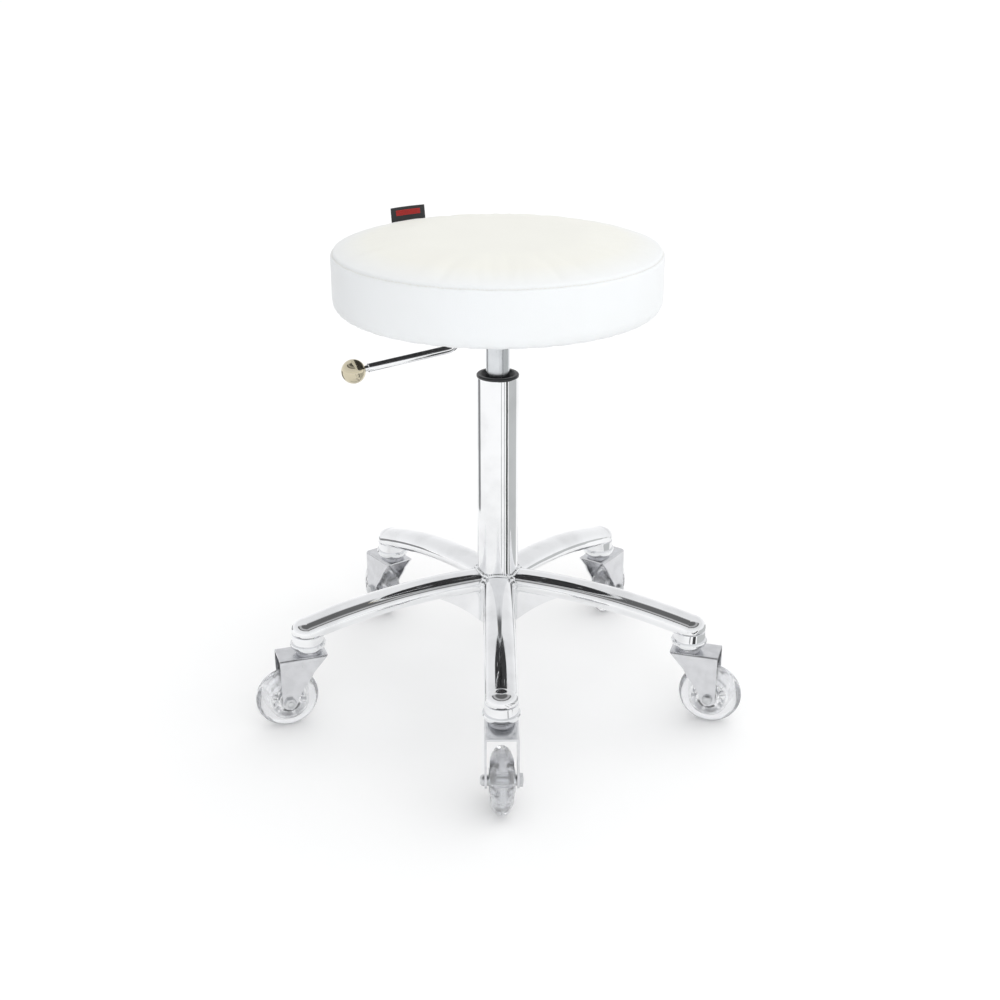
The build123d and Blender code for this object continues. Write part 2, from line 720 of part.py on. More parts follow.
# ---- castors -----------------------------------------------------------------------------
def make_stem(azimuth):
    """Stem, swivel race and kingpin, turned as one piece and riveted under the fork."""
    upright = radial_plane(azimuth)
    pin_end_z = fork_roof_z - fork_plate - turning_gap
    with BuildPart() as stem:
        with BuildSketch(upright):
            with BuildLine():
                at = castor_circle_r
                Polyline(
                    (at, stem_top_z),
                    (at, pin_end_z - rivet_height),
                    (at + rivet_r - corner_cut, pin_end_z - rivet_height),
                    (at + rivet_r, pin_end_z - rivet_height + corner_cut),
                    (at + rivet_r, pin_end_z),
                    (at + kingpin_r, pin_end_z),
                    (at + kingpin_r, race_bottom_z),
                    (at + race_foot_r, race_bottom_z),
                )
                lip_foot = (at + race_r, socket_bottom_z - race_lip)
                bulge = (at + race_r - race_bulge, race_bottom_z + race_bulge_rise)
                ThreePointArc((at + race_foot_r, race_bottom_z), bulge, lip_foot)
                Polyline(
                    lip_foot,
                    (at + race_r - race_lip_bevel, socket_bottom_z),
                    (at + stem_r, socket_bottom_z),
                    (at + stem_r, stem_top_z - corner_cut),
                    (at + stem_r - corner_cut, stem_top_z),
                    (at, stem_top_z),
                )
            make_face()
        revolve(axis=upright_axis(azimuth, castor_circle_r))
    return stem


def make_fork(azimuth):
    """Bent steel fork: a roof over the wheel and two waisted side plates down to the axle."""
    upright = radial_plane(azimuth)
    axle_at = castor_circle_r + castor_trail
    eye_r = axle_head_r + fork_eye_margin
    rear_at = castor_circle_r - fork_rear
    waist_point = (castor_circle_r - fork_waist, fork_roof_z - fork_waist_drop)
    roof_front = axle_at + eye_r
    with BuildPart() as fork:
        with BuildSketch(side_plane(azimuth, -fork_outer_half)):
            with BuildLine():
                Polyline(
                    (roof_front, axle_z),
                    (roof_front, fork_roof_z),
                    (rear_at, fork_roof_z),
                    waist_point,
                )
                Spline(waist_point, (axle_at - eye_r, axle_z), tangents=(fork_waist_heading, fork_eye_heading))
                ThreePointArc((axle_at - eye_r, axle_z), (axle_at, axle_z - eye_r), (roof_front, axle_z))
            make_face()
        extrude(amount=2 * fork_outer_half)
        roof_edges = fork.edges().group_by(Axis.Z)[-1]
        fillet(roof_edges.sort_by(Axis(upright.origin, upright.x_dir))[1:-1], fork_bend)
        with BuildSketch(level_plane(azimuth, axle_z - 2 * eye_r, castor_circle_r)):
            Rectangle(4 * castor_trail + 4 * fork_rear, 2 * fork_inner_half)
        extrude(amount=fork_roof_z - fork_plate - axle_z + 2 * eye_r, mode=Mode.SUBTRACT)
        with BuildSketch(level_plane(azimuth, fork_roof_z, castor_circle_r)):
            Circle(bearing_seat_r)
        extrude(amount=bearing_seat_height)
        with BuildSketch(level_plane(azimuth, fork_roof_z - fork_plate - cut_margin, castor_circle_r)):
            Circle(kingpin_r + running_gap)
        extrude(amount=fork_plate + bearing_seat_height + 2 * cut_margin, mode=Mode.SUBTRACT)
        with BuildSketch(upright):
            with Locations((axle_at, axle_z)):
                Circle(axle_r + press_gap)
        extrude(amount=2 * fork_outer_half, both=True, mode=Mode.SUBTRACT)
    return fork


def make_axle_set(azimuth):
    """Axle bolt with a domed head, its nut, and two spacers beside the bearings."""
    upright = radial_plane(azimuth)
    axle_at = castor_circle_r + castor_trail
    line = Axis(upright.from_local_coords((axle_at, axle_z, 0)), upright.z_dir)
    with BuildPart() as axle_set:
        with BuildSketch(level_plane(azimuth, axle_z)):
            with BuildLine():
                head = fork_outer_half
                tail = -fork_outer_half - axle_nut_height - axle_tail
                Polyline(
                    (axle_at, -head - axle_head_height),
                    (axle_at, -tail),
                    (axle_at + axle_r - end_chamfer, -tail),
                    (axle_at + axle_r, -tail - end_chamfer),
                    (axle_at + axle_r, -head),
                    (axle_at + axle_head_r, -head),
                    (axle_at + axle_head_r, -head - axle_head_height),
                    close=True,
                )
            make_face()
        revolve(axis=line)
        head_edge = axle_set.edges().filter_by(GeomType.CIRCLE).sort_by(line)[-1]
        fillet(head_edge, axle_head_height - axle_head_brim)
        with BuildSketch(side_plane(azimuth, -fork_outer_half - axle_nut_height)):
            with Locations((axle_at, axle_z)):
                RegularPolygon(axle_nut_flats / 2, 6, major_radius=False)
                Circle(axle_r + press_gap, mode=Mode.SUBTRACT)
        extrude(amount=axle_nut_height)
        for start in (-fork_inner_half, fork_inner_half - spacer_length):
            with BuildSketch(side_plane(azimuth, start)):
                with Locations((axle_at, axle_z)):
                    Circle(spacer_r)
                    Circle(axle_r + press_gap, mode=Mode.SUBTRACT)
            extrude(amount=spacer_length)
    return axle_set


def make_tyre(azimuth):
    """Soft clear tyre, rounded from rim to rim as a skate wheel's is, cast round the hub."""
    upright = radial_plane(azimuth)
    axle_at = castor_circle_r + castor_trail
    line = Axis(upright.from_local_coords((axle_at, axle_z, 0)), upright.z_dir)
    half = wheel_width / 2
    with BuildPart() as tyre:
        with BuildSketch(level_plane(azimuth, axle_z)):
            with BuildLine():
                middle = (axle_at + wheel_r - crown_depth, 0)
                turn = math.degrees(math.acos((hub_r - wheel_r + crown_depth) / crown_depth))
                crown = EllipticalCenterArc(middle, crown_depth, half, start_angle=-turn, arc_size=2 * turn)
                Line(crown @ 0, crown @ 1)
            make_face()
        revolve(axis=line)
    return tyre


def make_hub(azimuth):
    """Clear hub: rim, thin web, spokes on both sides and a boss bored for two bearings."""
    upright = radial_plane(azimuth)
    axle_at = castor_circle_r + castor_trail
    with BuildPart() as hub:
        with BuildSketch(side_plane(azimuth, -hub_half_width)):
            with Locations((axle_at, axle_z)):
                Circle(hub_r)
                Circle(hub_r - rim_thickness, mode=Mode.SUBTRACT)
        extrude(amount=2 * hub_half_width)
        with BuildSketch(side_plane(azimuth, -wheel_width / 2)):
            with Locations((axle_at, axle_z)):
                Circle(boss_r)
        extrude(amount=wheel_width)
        with BuildSketch(side_plane(azimuth, -web_thickness / 2)):
            with Locations((axle_at, axle_z)):
                Circle(hub_r - rim_thickness / 2)
        extrude(amount=web_thickness)
        with BuildSketch(side_plane(azimuth, -hub_half_width + rim_lip)):
            with Locations((axle_at, axle_z)):
                with PolarLocations(hub_r / 2, spoke_count, 90.0 / spoke_count):
                    Rectangle(hub_r - rim_thickness, spoke_thickness)
        extrude(amount=2 * (hub_half_width - rim_lip))
        with BuildSketch(upright):
            with Locations((axle_at, axle_z)):
                Circle(spacer_r)
        extrude(amount=wheel_width, both=True, mode=Mode.SUBTRACT)
        for start in (-wheel_width / 2, wheel_width / 2 - bearing_width):
            with BuildSketch(side_plane(azimuth, start)):
                with Locations((axle_at, axle_z)):
                    Circle(bearing_r + press_gap)
            extrude(amount=bearing_width, mode=Mode.SUBTRACT)
    return hub


def make_bearings(azimuth):
    """The wheel's pair of ball bearings, each with a shield groove on its outer face."""
    axle_at = castor_circle_r + castor_trail
    outer_start = wheel_width / 2 - bearing_width
    with BuildPart() as bearings:
        for start in (-wheel_width / 2, outer_start):
            with BuildSketch(side_plane(azimuth, start)):
                with Locations((axle_at, axle_z)):
                    Circle(bearing_r)
                    Circle(axle_r + running_gap, mode=Mode.SUBTRACT)
            extrude(amount=bearing_width)
        for start in (-wheel_width / 2, wheel_width / 2 - shield_depth):
            with BuildSketch(side_plane(azimuth, start)):
                with Locations((axle_at, axle_z)):
                    Circle(bearing_r - bearing_ring)
                    Circle(spacer_r + turning_gap, mode=Mode.SUBTRACT)
            extrude(amount=shield_depth, mode=Mode.SUBTRACT)
    return bearings


castor_pieces = {
    "castor_stem": make_stem,
    "fork": make_fork,
    "axle_set": make_axle_set,
    "tyre": make_tyre,
    "wheel_hub": make_hub,
    "wheel_bearings": make_bearings,
}
for index, place in enumerate(arm_names):
    for piece_name, make_piece in castor_pieces.items():
        save(make_piece(azimuth_of(index)), f"{piece_name}_{place}")
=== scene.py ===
# %% [markdown]
# # Finishing a dentist's stool
# The stool's working parts come as a fixed frame: column, arms, castors, gas lift and lever, each in its
# place and at its real size. This lesson leaves all of them where they are. It gives every part a
# finish, and it makes what a workshop adds last: the upholstery, its seam and stitches, the dust cover
# and staples under the seat, the woven label and the weld beads on the base.

# %% Load the frame
import json
import math

import bmesh
import bpy
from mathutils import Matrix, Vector, noise
from mathutils.bvhtree import BVHTree


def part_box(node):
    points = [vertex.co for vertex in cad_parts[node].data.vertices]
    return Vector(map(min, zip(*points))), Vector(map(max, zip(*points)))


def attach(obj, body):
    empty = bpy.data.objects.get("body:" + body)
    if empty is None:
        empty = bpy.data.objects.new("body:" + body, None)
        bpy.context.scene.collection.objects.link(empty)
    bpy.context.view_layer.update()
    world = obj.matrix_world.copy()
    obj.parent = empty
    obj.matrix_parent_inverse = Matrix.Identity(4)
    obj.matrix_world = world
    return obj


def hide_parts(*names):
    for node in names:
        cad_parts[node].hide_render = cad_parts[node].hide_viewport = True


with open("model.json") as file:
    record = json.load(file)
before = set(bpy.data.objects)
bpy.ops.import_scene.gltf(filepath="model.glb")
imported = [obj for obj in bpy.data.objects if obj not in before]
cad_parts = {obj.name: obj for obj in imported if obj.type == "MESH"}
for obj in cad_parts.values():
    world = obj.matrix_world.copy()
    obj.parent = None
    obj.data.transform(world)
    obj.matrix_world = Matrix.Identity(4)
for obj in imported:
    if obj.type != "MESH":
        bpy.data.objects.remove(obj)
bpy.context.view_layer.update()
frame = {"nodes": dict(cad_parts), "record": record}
MM = 0.001


def placed(name, data):
    """A new object, linked into the scene."""
    thing = bpy.data.objects.new(name, data)
    bpy.context.scene.collection.objects.link(thing)
    return thing


def on_circle(radius, turn, height):
    return radius * math.cos(turn), radius * math.sin(turn), height


def full_turn(count, start=0.0):
    """Evenly spaced angles all round."""
    return [2 * math.pi * (step + start) / count for step in range(count)]


# %% [markdown]
# ## Writing node trees as sums
# A finish is a small calculation: a smudge plus a scratch, less a worn patch. Dragging nodes about hides
# that, so one class wraps a socket and lets Python's operators add the Math nodes. The same class serves
# the materials and the Geometry Nodes further on.

# %% A wire and a net of nodes


class Wire:
    """One output of a node. Arithmetic on wires adds Math nodes to their net."""

    def __init__(self, net, socket):
        self.net = net
        self.socket = socket

    def math(self, operation, first, second=0.0):
        return self.net.node("ShaderNodeMath", {"operation": operation}, {0: first, 1: second})

    def __add__(self, other):
        return self.math("ADD", self, other)

    def __sub__(self, other):
        return self.math("SUBTRACT", self, other)

    def __rsub__(self, other):
        return self.math("SUBTRACT", other, self)

    def __mul__(self, other):
        return self.math("MULTIPLY", self, other)

    __radd__ = __add__
    __rmul__ = __mul__

    def above(self, level, softness):
        """0 below a level, 1 above it, with a soft step between."""
        step = {0: self, 1: level - softness, 2: level + softness}
        return self.net.node("ShaderNodeMapRange", {"interpolation_type": "SMOOTHSTEP"}, step)

    def sine(self):
        return self.math("SINE", self)

    def size(self):
        return self.math("ABSOLUTE", self)


class Net:
    """A node tree, and the one way in which its nodes are made."""

    def __init__(self, tree):
        self.tree = tree

    def node(self, kind, settings=None, inputs=None, output=0):
        node = self.tree.nodes.new(kind)
        for name, value in (settings or {}).items():
            setattr(node, name, value)
        for key, value in (inputs or {}).items():
            for item in value if isinstance(value, list) else [value]:
                if isinstance(item, Wire):
                    self.tree.links.new(item.socket, node.inputs[key])
                else:
                    node.inputs[key].default_value = item
        return Wire(self, node.outputs[output]) if node.outputs else None


# %% A finish is a net with a Principled shader
COLOUR_A, COLOUR_B, COLOUR_OUT = 6, 7, 2     # the Mix node's colour sockets


class Finish(Net):
    """A material. Values that are the same all over are set straight on the shader."""

    def __init__(self, name, uniform):
        self.material = bpy.data.materials.new(name)
        self.material.use_nodes = True
        super().__init__(self.material.node_tree)
        self.shader = self.tree.nodes["Principled BSDF"]
        self.place = self.node("ShaderNodeTexCoord", output="Object")
        self.relief = None
        for socket, value in uniform.items():
            self.shader.inputs[socket].default_value = value

    def feed(self, socket, wire):
        self.tree.links.new(wire.socket, self.shader.inputs[socket])

    def stretched(self, scale):
        return self.node("ShaderNodeMapping", {}, {"Vector": self.place, "Scale": scale})

    def cloud(self, size, detail=3.0, place=None):
        """Soft noise, 0 to 1, whose blotches are about a size across in metres."""
        sockets = {"Vector": place or self.place, "Scale": 1.0 / size, "Detail": detail}
        return self.node("ShaderNodeTexNoise", {}, sockets)

    def cells(self, size, feature="F1"):
        """Distance from the middles of random cells of a size in metres."""
        sockets = {"Vector": self.place, "Scale": 1.0 / size}
        return self.node("ShaderNodeTexVoronoi", {"feature": feature}, sockets)

    def height(self):
        return self.node("ShaderNodeSeparateXYZ", {}, {"Vector": self.place}, output="Z")

    def between(self, mask, low, high):
        sockets = {0: mask, COLOUR_A: (*low, 1.0), COLOUR_B: (*high, 1.0)}
        return self.node("ShaderNodeMix", {"data_type": "RGBA"}, sockets, output=COLOUR_OUT)

    def over(self, mask, below, above):
        """A plain colour laid over a coloured wire where a mask is 1."""
        sockets = {0: mask, COLOUR_A: below, COLOUR_B: (*above, 1.0)}
        return self.node("ShaderNodeMix", {"data_type": "RGBA"}, sockets, output=COLOUR_OUT)

    def raise_by(self, wire, depth):
        """Adds relief of a depth in metres to the finish's bump."""
        sockets = {"Height": wire, "Distance": depth}
        if self.relief:
            sockets["Normal"] = self.relief
        self.relief = self.node("ShaderNodeBump", {}, sockets)
        self.feed("Normal", self.relief)


print("finish class ready")

# %% [markdown]
# ## Bright chrome
# The column, arms, sockets and lever are steel tube, polished and then plated with nickel and chrome. A
# perfect mirror looks like a drawing, so the plating gets what real plating has: long soft waves left by
# the polishing wheel, hazy hand marks, hairlines along and across it, and a few dull pits low down
# where mops and shoes reach.

# %% Chrome


def make_chrome(name, tint, haze=0.035, waviness=0.14):
    finish = Finish(name, {"Metallic": 1.0, "Specular IOR Level": 0.5})
    smudge = finish.cloud(0.045, 4.0).above(0.56, 0.16)
    hairline = finish.cloud(0.0011, 1.0, finish.stretched((1.0, 1.0, 0.03))).above(0.74, 0.03)
    cross_line = finish.cloud(0.0013, 1.0, finish.stretched((0.04, 1.0, 1.0))).above(0.76, 0.03)
    low_down = 1.0 - finish.height().above(0.10, 0.06)
    pits = (1.0 - finish.cells(0.009).above(0.07, 0.03)) * low_down * finish.cloud(0.03).above(0.52, 0.05)
    dull = tuple(part * 0.72 for part in tint)
    hazed = finish.between(smudge * 0.35, tint, dull)
    finish.feed("Base Color", finish.over(pits * 0.7, hazed, (0.25, 0.24, 0.23)))
    finish.feed("Roughness", haze + smudge * 0.07 + hairline * 0.10 + cross_line * 0.08 + pits * 0.3)
    finish.raise_by(finish.cloud(0.028, 1.0), waviness * MM)
    finish.raise_by(hairline + cross_line + pits, -0.004 * MM)
    return finish.material


chrome = make_chrome("bright_chrome", (0.90, 0.905, 0.915))
knob_chrome = make_chrome("warm_ball_chrome", (0.66, 0.60, 0.45), haze=0.05)
race_chrome = make_chrome("race_chrome", (0.86, 0.87, 0.88), haze=0.09, waviness=0.09)
print("chromes:", chrome.name, knob_chrome.name, race_chrome.name)

# %% [markdown]
# ## Plated sheet, ground bar and zinc
# The forks are cut from rolled sheet and barrel-plated, which leaves a calmer, greyer mirror with the
# mill's fine grain in it. The gas cylinder is ground bar: hundreds of fine rings around it. Bolts and
# clips are zinc-plated, and zinc is slightly cloudy. All four are one recipe with other numbers.

# %% Duller metals


def make_plain_metal(name, tint, shine, grain, grain_depth, clouding):
    """grain stretches the noise: a small number draws it out along that axis."""
    finish = Finish(name, {"Metallic": 1.0})
    mill = finish.cloud(0.0007, 2.0, finish.stretched(grain))
    patch = finish.cloud(0.012, 4.0).above(0.52, 0.2)
    specks = 1.0 - finish.cells(0.006).above(0.08, 0.04)
    shade = tuple(part * 0.8 for part in tint)
    clouded = finish.between(patch * clouding, tint, shade)
    finish.feed("Base Color", finish.over(specks * 0.35, clouded, shade))
    finish.feed("Roughness", shine + mill * 0.10 + patch * 0.08 * clouding + specks * 0.12)
    finish.raise_by(mill, grain_depth * MM)
    return finish.material


fork_plate = make_plain_metal("plated_fork_sheet", (0.70, 0.705, 0.725), 0.16, (0.6, 0.6, 0.08), 0.006, 0.5)
zinc = make_plain_metal("zinc_plate", (0.68, 0.69, 0.70), 0.26, (1.0, 1.0, 1.0), 0.008, 0.9)
cylinder_zinc = make_plain_metal("ground_cylinder", (0.70, 0.72, 0.74), 0.17, (0.03, 0.03, 1.6), 0.004, 0.4)
ground_steel = make_plain_metal("ground_steel", (0.60, 0.61, 0.62), 0.14, (0.1, 0.1, 1.0), 0.004, 0.3)
print("metals:", fork_plate.name, zinc.name, cylinder_zinc.name, ground_steel.name)

# %% [markdown]
# ## Black parts
# The seat mechanism is pressed steel under powder paint, which dries like fine orange peel. The
# column's ring is moulded nylon, sparked to a fine matte. The buffer and seal are rubber, duller
# still, with dust in the pores.

# %% Paint, nylon and rubber


def make_black(name, tone, shine, pore, depth, dust):
    finish = Finish(name, {"Specular IOR Level": 0.4})
    skin = finish.cloud(pore, 2.0)
    wear = finish.cloud(0.02, 5.0).above(0.58, 0.12)
    pale = tuple(part + dust for part in tone)
    finish.feed("Base Color", finish.between(wear, tone, pale))
    finish.feed("Roughness", shine + skin * 0.12 - wear * 0.06)
    finish.raise_by(skin, depth * MM)
    return finish.material


black_paint = make_black("black_powder_paint", (0.020, 0.020, 0.021), 0.42, 0.0012, 0.05, 0.012)
nylon = make_black("black_nylon", (0.028, 0.029, 0.031), 0.30, 0.0004, 0.02, 0.020)
rubber = make_black("black_rubber", (0.022, 0.022, 0.022), 0.66, 0.0006, 0.03, 0.030)
print("blacks:", black_paint.name, nylon.name, rubber.name)

# %% [markdown]
# ## Clear wheels
# Tyre and hub are clear polyurethane. Light goes through, so most of what is seen is what lies behind,
# bent by the rims and spokes. The tread scuffs white first, the mould leaves faint flow lines, and
# tiny bubbles stay in the thick parts.

# %% Clear polyurethane


def make_clear(name, tint, shine, scuff):
    finish = Finish(name, {"Transmission Weight": 0.9, "IOR": 1.46, "Specular IOR Level": 0.5})
    flow = finish.cloud(0.016, 2.0)
    bubbles = 1.0 - finish.cells(0.006).above(0.07, 0.04)
    dust = finish.cloud(0.004, 4.0).above(0.60, 0.10) * scuff
    milky = tuple(min(1.0, part * 1.06) for part in tint)
    streaked = finish.between(flow, tint, milky)
    finish.feed("Base Color", finish.over(bubbles * 0.3, streaked, (0.97, 0.97, 0.97)))
    finish.feed("Roughness", shine + flow * 0.04 + dust * 0.15)
    finish.raise_by(flow, 0.05 * MM)
    finish.raise_by(bubbles, 0.004 * MM)
    return finish.material


tyre_clear = make_clear("clear_tyre_urethane", (0.90, 0.905, 0.92), 0.03, 1.0)
hub_clear = make_clear("clear_hub_urethane", (0.93, 0.935, 0.95), 0.02, 0.3)
print("clears:", tyre_clear.name, hub_clear.name)

# %% [markdown]
# ## Plywood
# The seat board is birch plywood. Its edge shows the plies as thin bands of lighter and darker wood, and
# its faces show long grain. The board is hidden once the seat is covered, but it is still a real part.

# %% Plywood
PLY = 1.5 * MM


def make_plywood():
    finish = Finish("birch_plywood", {"Specular IOR Level": 0.3})
    grain = finish.cloud(0.003, 5.0, finish.stretched((0.06, 1.0, 1.0)))
    plies = (finish.height() * (math.pi / PLY)).sine().above(0.0, 0.3)
    mask = grain * 0.6 + plies * 0.4
    finish.feed("Base Color", finish.between(mask, (0.52, 0.35, 0.19), (0.74, 0.58, 0.38)))
    finish.feed("Roughness", 0.62 + grain * 0.15)
    finish.raise_by(grain, 0.05 * MM)
    return finish.material


plywood = make_plywood()
print("wood:", plywood.name)

# %% Give each frame part its finish
FINISHES = {
    "chromed_steel": chrome,
    "plated_fork_steel": fork_plate,
    "zinc_plated_steel": zinc,
    "ground_steel": ground_steel,
    "black_painted_steel": black_paint,
    "black_nylon": nylon,
    "buffer_rubber": rubber,
    "seal_rubber": rubber,
    "clear_tyre": tyre_clear,
    "clear_hub": hub_clear,
    "plywood": plywood,
}
SPECIAL = {"lever_knob": knob_chrome, "gas_cylinder": cylinder_zinc}
slot_of = {part["node"]: part["material_slot"] for part in frame["record"]["subparts"]}
for node, thing in frame["nodes"].items():
    paint = SPECIAL.get(node, FINISHES.get(slot_of[node]))
    if node.startswith("castor_stem"):
        paint = race_chrome
    if paint:
        thing.data.materials.clear()
        thing.data.materials.append(paint)
print("painted", len(frame["nodes"]), "frame parts")

# %% [markdown]
# ## White vinyl
# Upholstery vinyl is a cloth with a soft plastic skin, pressed with a leather grain: small flat pebbles
# with creases between them. The grain is about a millimetre across, so it only breaks up the gloss. The
# mesh carries two numbers of its own that the finish reads: how deep a point lies in a seam or fold,
# where the colour is darkened as painted shade, and how far it lies inside the top panel, where the
# colour is warmed as a painted light tint; top panel and band are the same vinyl.

# %% Vinyl


def make_vinyl():
    finish = Finish("white_vinyl", {"Specular IOR Level": 0.42, "Coat Roughness": 0.35})
    pebbles = finish.cells(0.0013, "DISTANCE_TO_EDGE").above(0.10, 0.10)
    pore = finish.cloud(0.0005, 2.0)
    blush = finish.cloud(0.08, 3.0)
    fold = finish.node("ShaderNodeAttribute", {"attribute_name": "fold"}, output="Fac")
    top = finish.node("ShaderNodeAttribute", {"attribute_name": "top_panel"}, output="Fac")
    # painted light: the top panel is tinted warmer than the band, as the light falls on it
    painted_light_panel = finish.between(top, (0.83, 0.845, 0.855), (0.85, 0.845, 0.785))
    worn = finish.over(blush.above(0.5, 0.25) * 0.10, painted_light_panel, (0.72, 0.70, 0.65))
    # painted shade: the seam, the back join and the pleats' creases are darkened
    finish.feed("Base Color", finish.over(fold * 0.18, worn, (0.50, 0.48, 0.43)))
    finish.feed("Roughness", 0.50 - pebbles * 0.08 + pore * 0.06 - blush * 0.06)
    finish.feed("Coat Weight", 0.06 + pebbles * 0.06)
    finish.raise_by(pebbles, 0.045 * MM)
    finish.raise_by(pore, 0.012 * MM)
    return finish.material


vinyl = make_vinyl()
print("vinyl:", vinyl.name)

# %% [markdown]
# ## The cushion's section
# The seat is a turned shape, so half its section is enough: over the crown, down to the seam, down the
# band, round the foot, and in under the board as a hem. Each point has a name for its stretch, because
# the seam needs rings a millimetre apart and the crown doesn't.

# %% Section of the cushion
seat_low, seat_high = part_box("seat_cushion")
board_low, board_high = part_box("seat_board")
SEAT_R = seat_high.x
CROWN_Z = seat_high.z
FOOT_Z = seat_low.z
SEAM_Z = CROWN_Z - 11.0 * MM
SEAM_R = SEAT_R - 2.0 * MM
FOOT_R = 14.0 * MM
HEM_R = board_high.x - 26.0 * MM
SHOULDER_R = 150.0 * MM     # the crown is nearly level inside this radius
CROWN_RISE = 0.5 * MM       # the rough form starts this far below the frame's crown


def crown_height(radius):
    """Height of the top panel before it is stuffed: level, then a rounded shoulder down to the seam."""
    out = max(0.0, (radius - SHOULDER_R) / (SEAM_R - SHOULDER_R))
    return SEAM_Z + (CROWN_Z - CROWN_RISE - SEAM_Z) * (1.0 - out**2.6)


def section_points():
    """(radius, height, stretch) from the crown's middle to the hem's edge."""
    points = [(SEAM_R * step / 26, crown_height(SEAM_R * step / 26), "top") for step in range(1, 24)]
    near = [14, 10.5, 8, 6, 4.5, 3.2, 2.2, 1.4, 0.8, 0.4]
    points += [(SEAM_R - gap * MM, crown_height(SEAM_R - gap * MM), "top") for gap in near]
    points.append((SEAM_R, SEAM_Z, "seam"))
    for drop in (0.4, 0.8, 1.4, 2.2, 3.2, 4.5, 6.5, 9.0):
        points.append((SEAM_R + min(1.0, drop / 2.4) * (SEAT_R - SEAM_R), SEAM_Z - drop * MM, "band"))
    low, high = FOOT_Z + FOOT_R, SEAM_Z - 9.0 * MM
    points += [(SEAT_R, high + (low - high) * step / 12, "band") for step in range(1, 13)]
    for step in range(1, 11):
        turn = math.pi / 2 * step / 10
        points.append((SEAT_R - FOOT_R + FOOT_R * math.cos(turn), low - FOOT_R * math.sin(turn), "foot"))
    start = SEAT_R - FOOT_R
    points += [(start + (HEM_R - start) * step / 12, FOOT_Z, "hem") for step in range(1, 13)]
    return points


section = section_points()
print("section:", len(section), "points; seam at", round(SEAM_Z, 4), "m")

# %% [markdown]
# ## Stuffing it
# A covered foam seat is a bag under pressure that the seam and the staples hold back. That is what the
# cloth solver does well: a plain closed copy of the shape, made of even little faces, is blown up a few
# millimetres while its seam and its underside stay pinned. The top crowns, the band bellies between
# seam and foot, and neither is quite regular.

# %% A rough closed form to inflate
ROUGH_SEGMENTS = 96
VOXEL = 5.0 * MM
SHRINK = 0.8 * MM        # the band starts this much inside, and the pressure brings it out
MOST_MOVE = 7.0 * MM


def bridge(mesh, rings):
    """Faces between each ring and the next."""
    count = len(rings[0])
    for upper, lower in zip(rings, rings[1:]):
        for step in range(count):
            after = (step + 1) % count
            mesh.faces.new((upper[step], lower[step], lower[after], upper[after]))


def mesh_data(mesh, name):
    """Ends a bmesh: normals outward, kept as plain mesh data."""
    bmesh.ops.recalc_face_normals(mesh, faces=mesh.faces)
    data = bpy.data.meshes.new(name)
    mesh.to_mesh(data)
    mesh.free()
    return data


def turned_mesh(name, outline, segments):
    """Turns an outline of (radius, height) round the upright axis, closed at both ends."""
    mesh = bmesh.new()
    rings = []
    for radius, height in outline:
        rings.append([mesh.verts.new(on_circle(radius, turn, height)) for turn in full_turn(segments)])
    bridge(mesh, rings)
    mesh.faces.new(rings[0])
    mesh.faces.new(list(reversed(rings[-1])))
    return mesh_data(mesh, name)


def rough_outline():
    outline = []
    for radius, height, stretch in section:
        inward = SHRINK if stretch in ("band", "foot") else 0.0
        outline.append((radius - inward * min(1.0, (SEAM_Z - height) / (6 * MM)), height))
    return outline


rough = placed("rough_cushion", turned_mesh("rough_cushion", rough_outline(), ROUGH_SEGMENTS))
print("rough cushion:", len(rough.data.vertices), "points")

# %% Inflate it


def evaluated_mesh(thing):
    graph = bpy.context.evaluated_depsgraph_get()
    return bpy.data.meshes.new_from_object(thing.evaluated_get(graph))


PIN_REACH = 7.0 * MM     # the seam's hold fades out over this
PRESSURE = 4.0
STUFFING_FRAMES = 20


def inflate(thing):
    """Cloth pressure on an even copy, with the seam and the underside pinned."""
    remesh = thing.modifiers.new("even", "REMESH")
    remesh.mode = "VOXEL"
    remesh.voxel_size = VOXEL
    thing.data = evaluated_mesh(thing)
    thing.modifiers.clear()
    before = [vertex.co.copy() for vertex in thing.data.vertices]
    pins = thing.vertex_groups.new(name="held")
    for vertex in thing.data.vertices:
        reach = vertex.co.xy.length
        at_seam = math.hypot(reach - SEAM_R, vertex.co.z - SEAM_Z)
        held = max(0.0, 1.0 - at_seam / PIN_REACH)
        if vertex.co.z < FOOT_Z + 4 * MM:
            held = 1.0
        pins.add([vertex.index], held, "REPLACE")
    cloth = thing.modifiers.new("stuffing", "CLOTH")
    cloth.settings.vertex_group_mass = "held"
    cloth.settings.use_pressure = True
    cloth.settings.uniform_pressure_force = PRESSURE
    cloth.settings.tension_stiffness = 8.0
    cloth.settings.compression_stiffness = 8.0
    cloth.settings.bending_stiffness = 0.4
    cloth.settings.mass = 0.4
    cloth.settings.effector_weights.gravity = 0.0
    scene = bpy.context.scene
    for step in range(1, STUFFING_FRAMES + 1):
        scene.frame_set(step)
    puffed = evaluated_mesh(thing)
    scene.frame_set(1)
    thing.modifiers.clear()
    for vertex, rest in zip(puffed.vertices, before):
        move = vertex.co - rest
        if move.length > MOST_MOVE:
            vertex.co = rest + move * (MOST_MOVE / move.length)
    thing.data = puffed
    return max((vertex.co - rest).length for vertex, rest in zip(puffed.vertices, before))


print("stuffed; largest move", round(inflate(rough) * 1000, 2), "mm")

# %% [markdown]
# ## Drawing the cover over it
# The inflated form is even but coarse. A cover wants rings along its seam and columns along its back
# join, so a fresh mesh is drawn over it: each point of the fine section is dropped onto the inflated
# surface along the section's own outward direction. On the way it gets the sewn detail, which is far
# smaller than the coarse faces: the seam's valley, the puckers each stitch pulls, the upright join at
# the back of the band, and the pleats where the hem is gathered under the board.

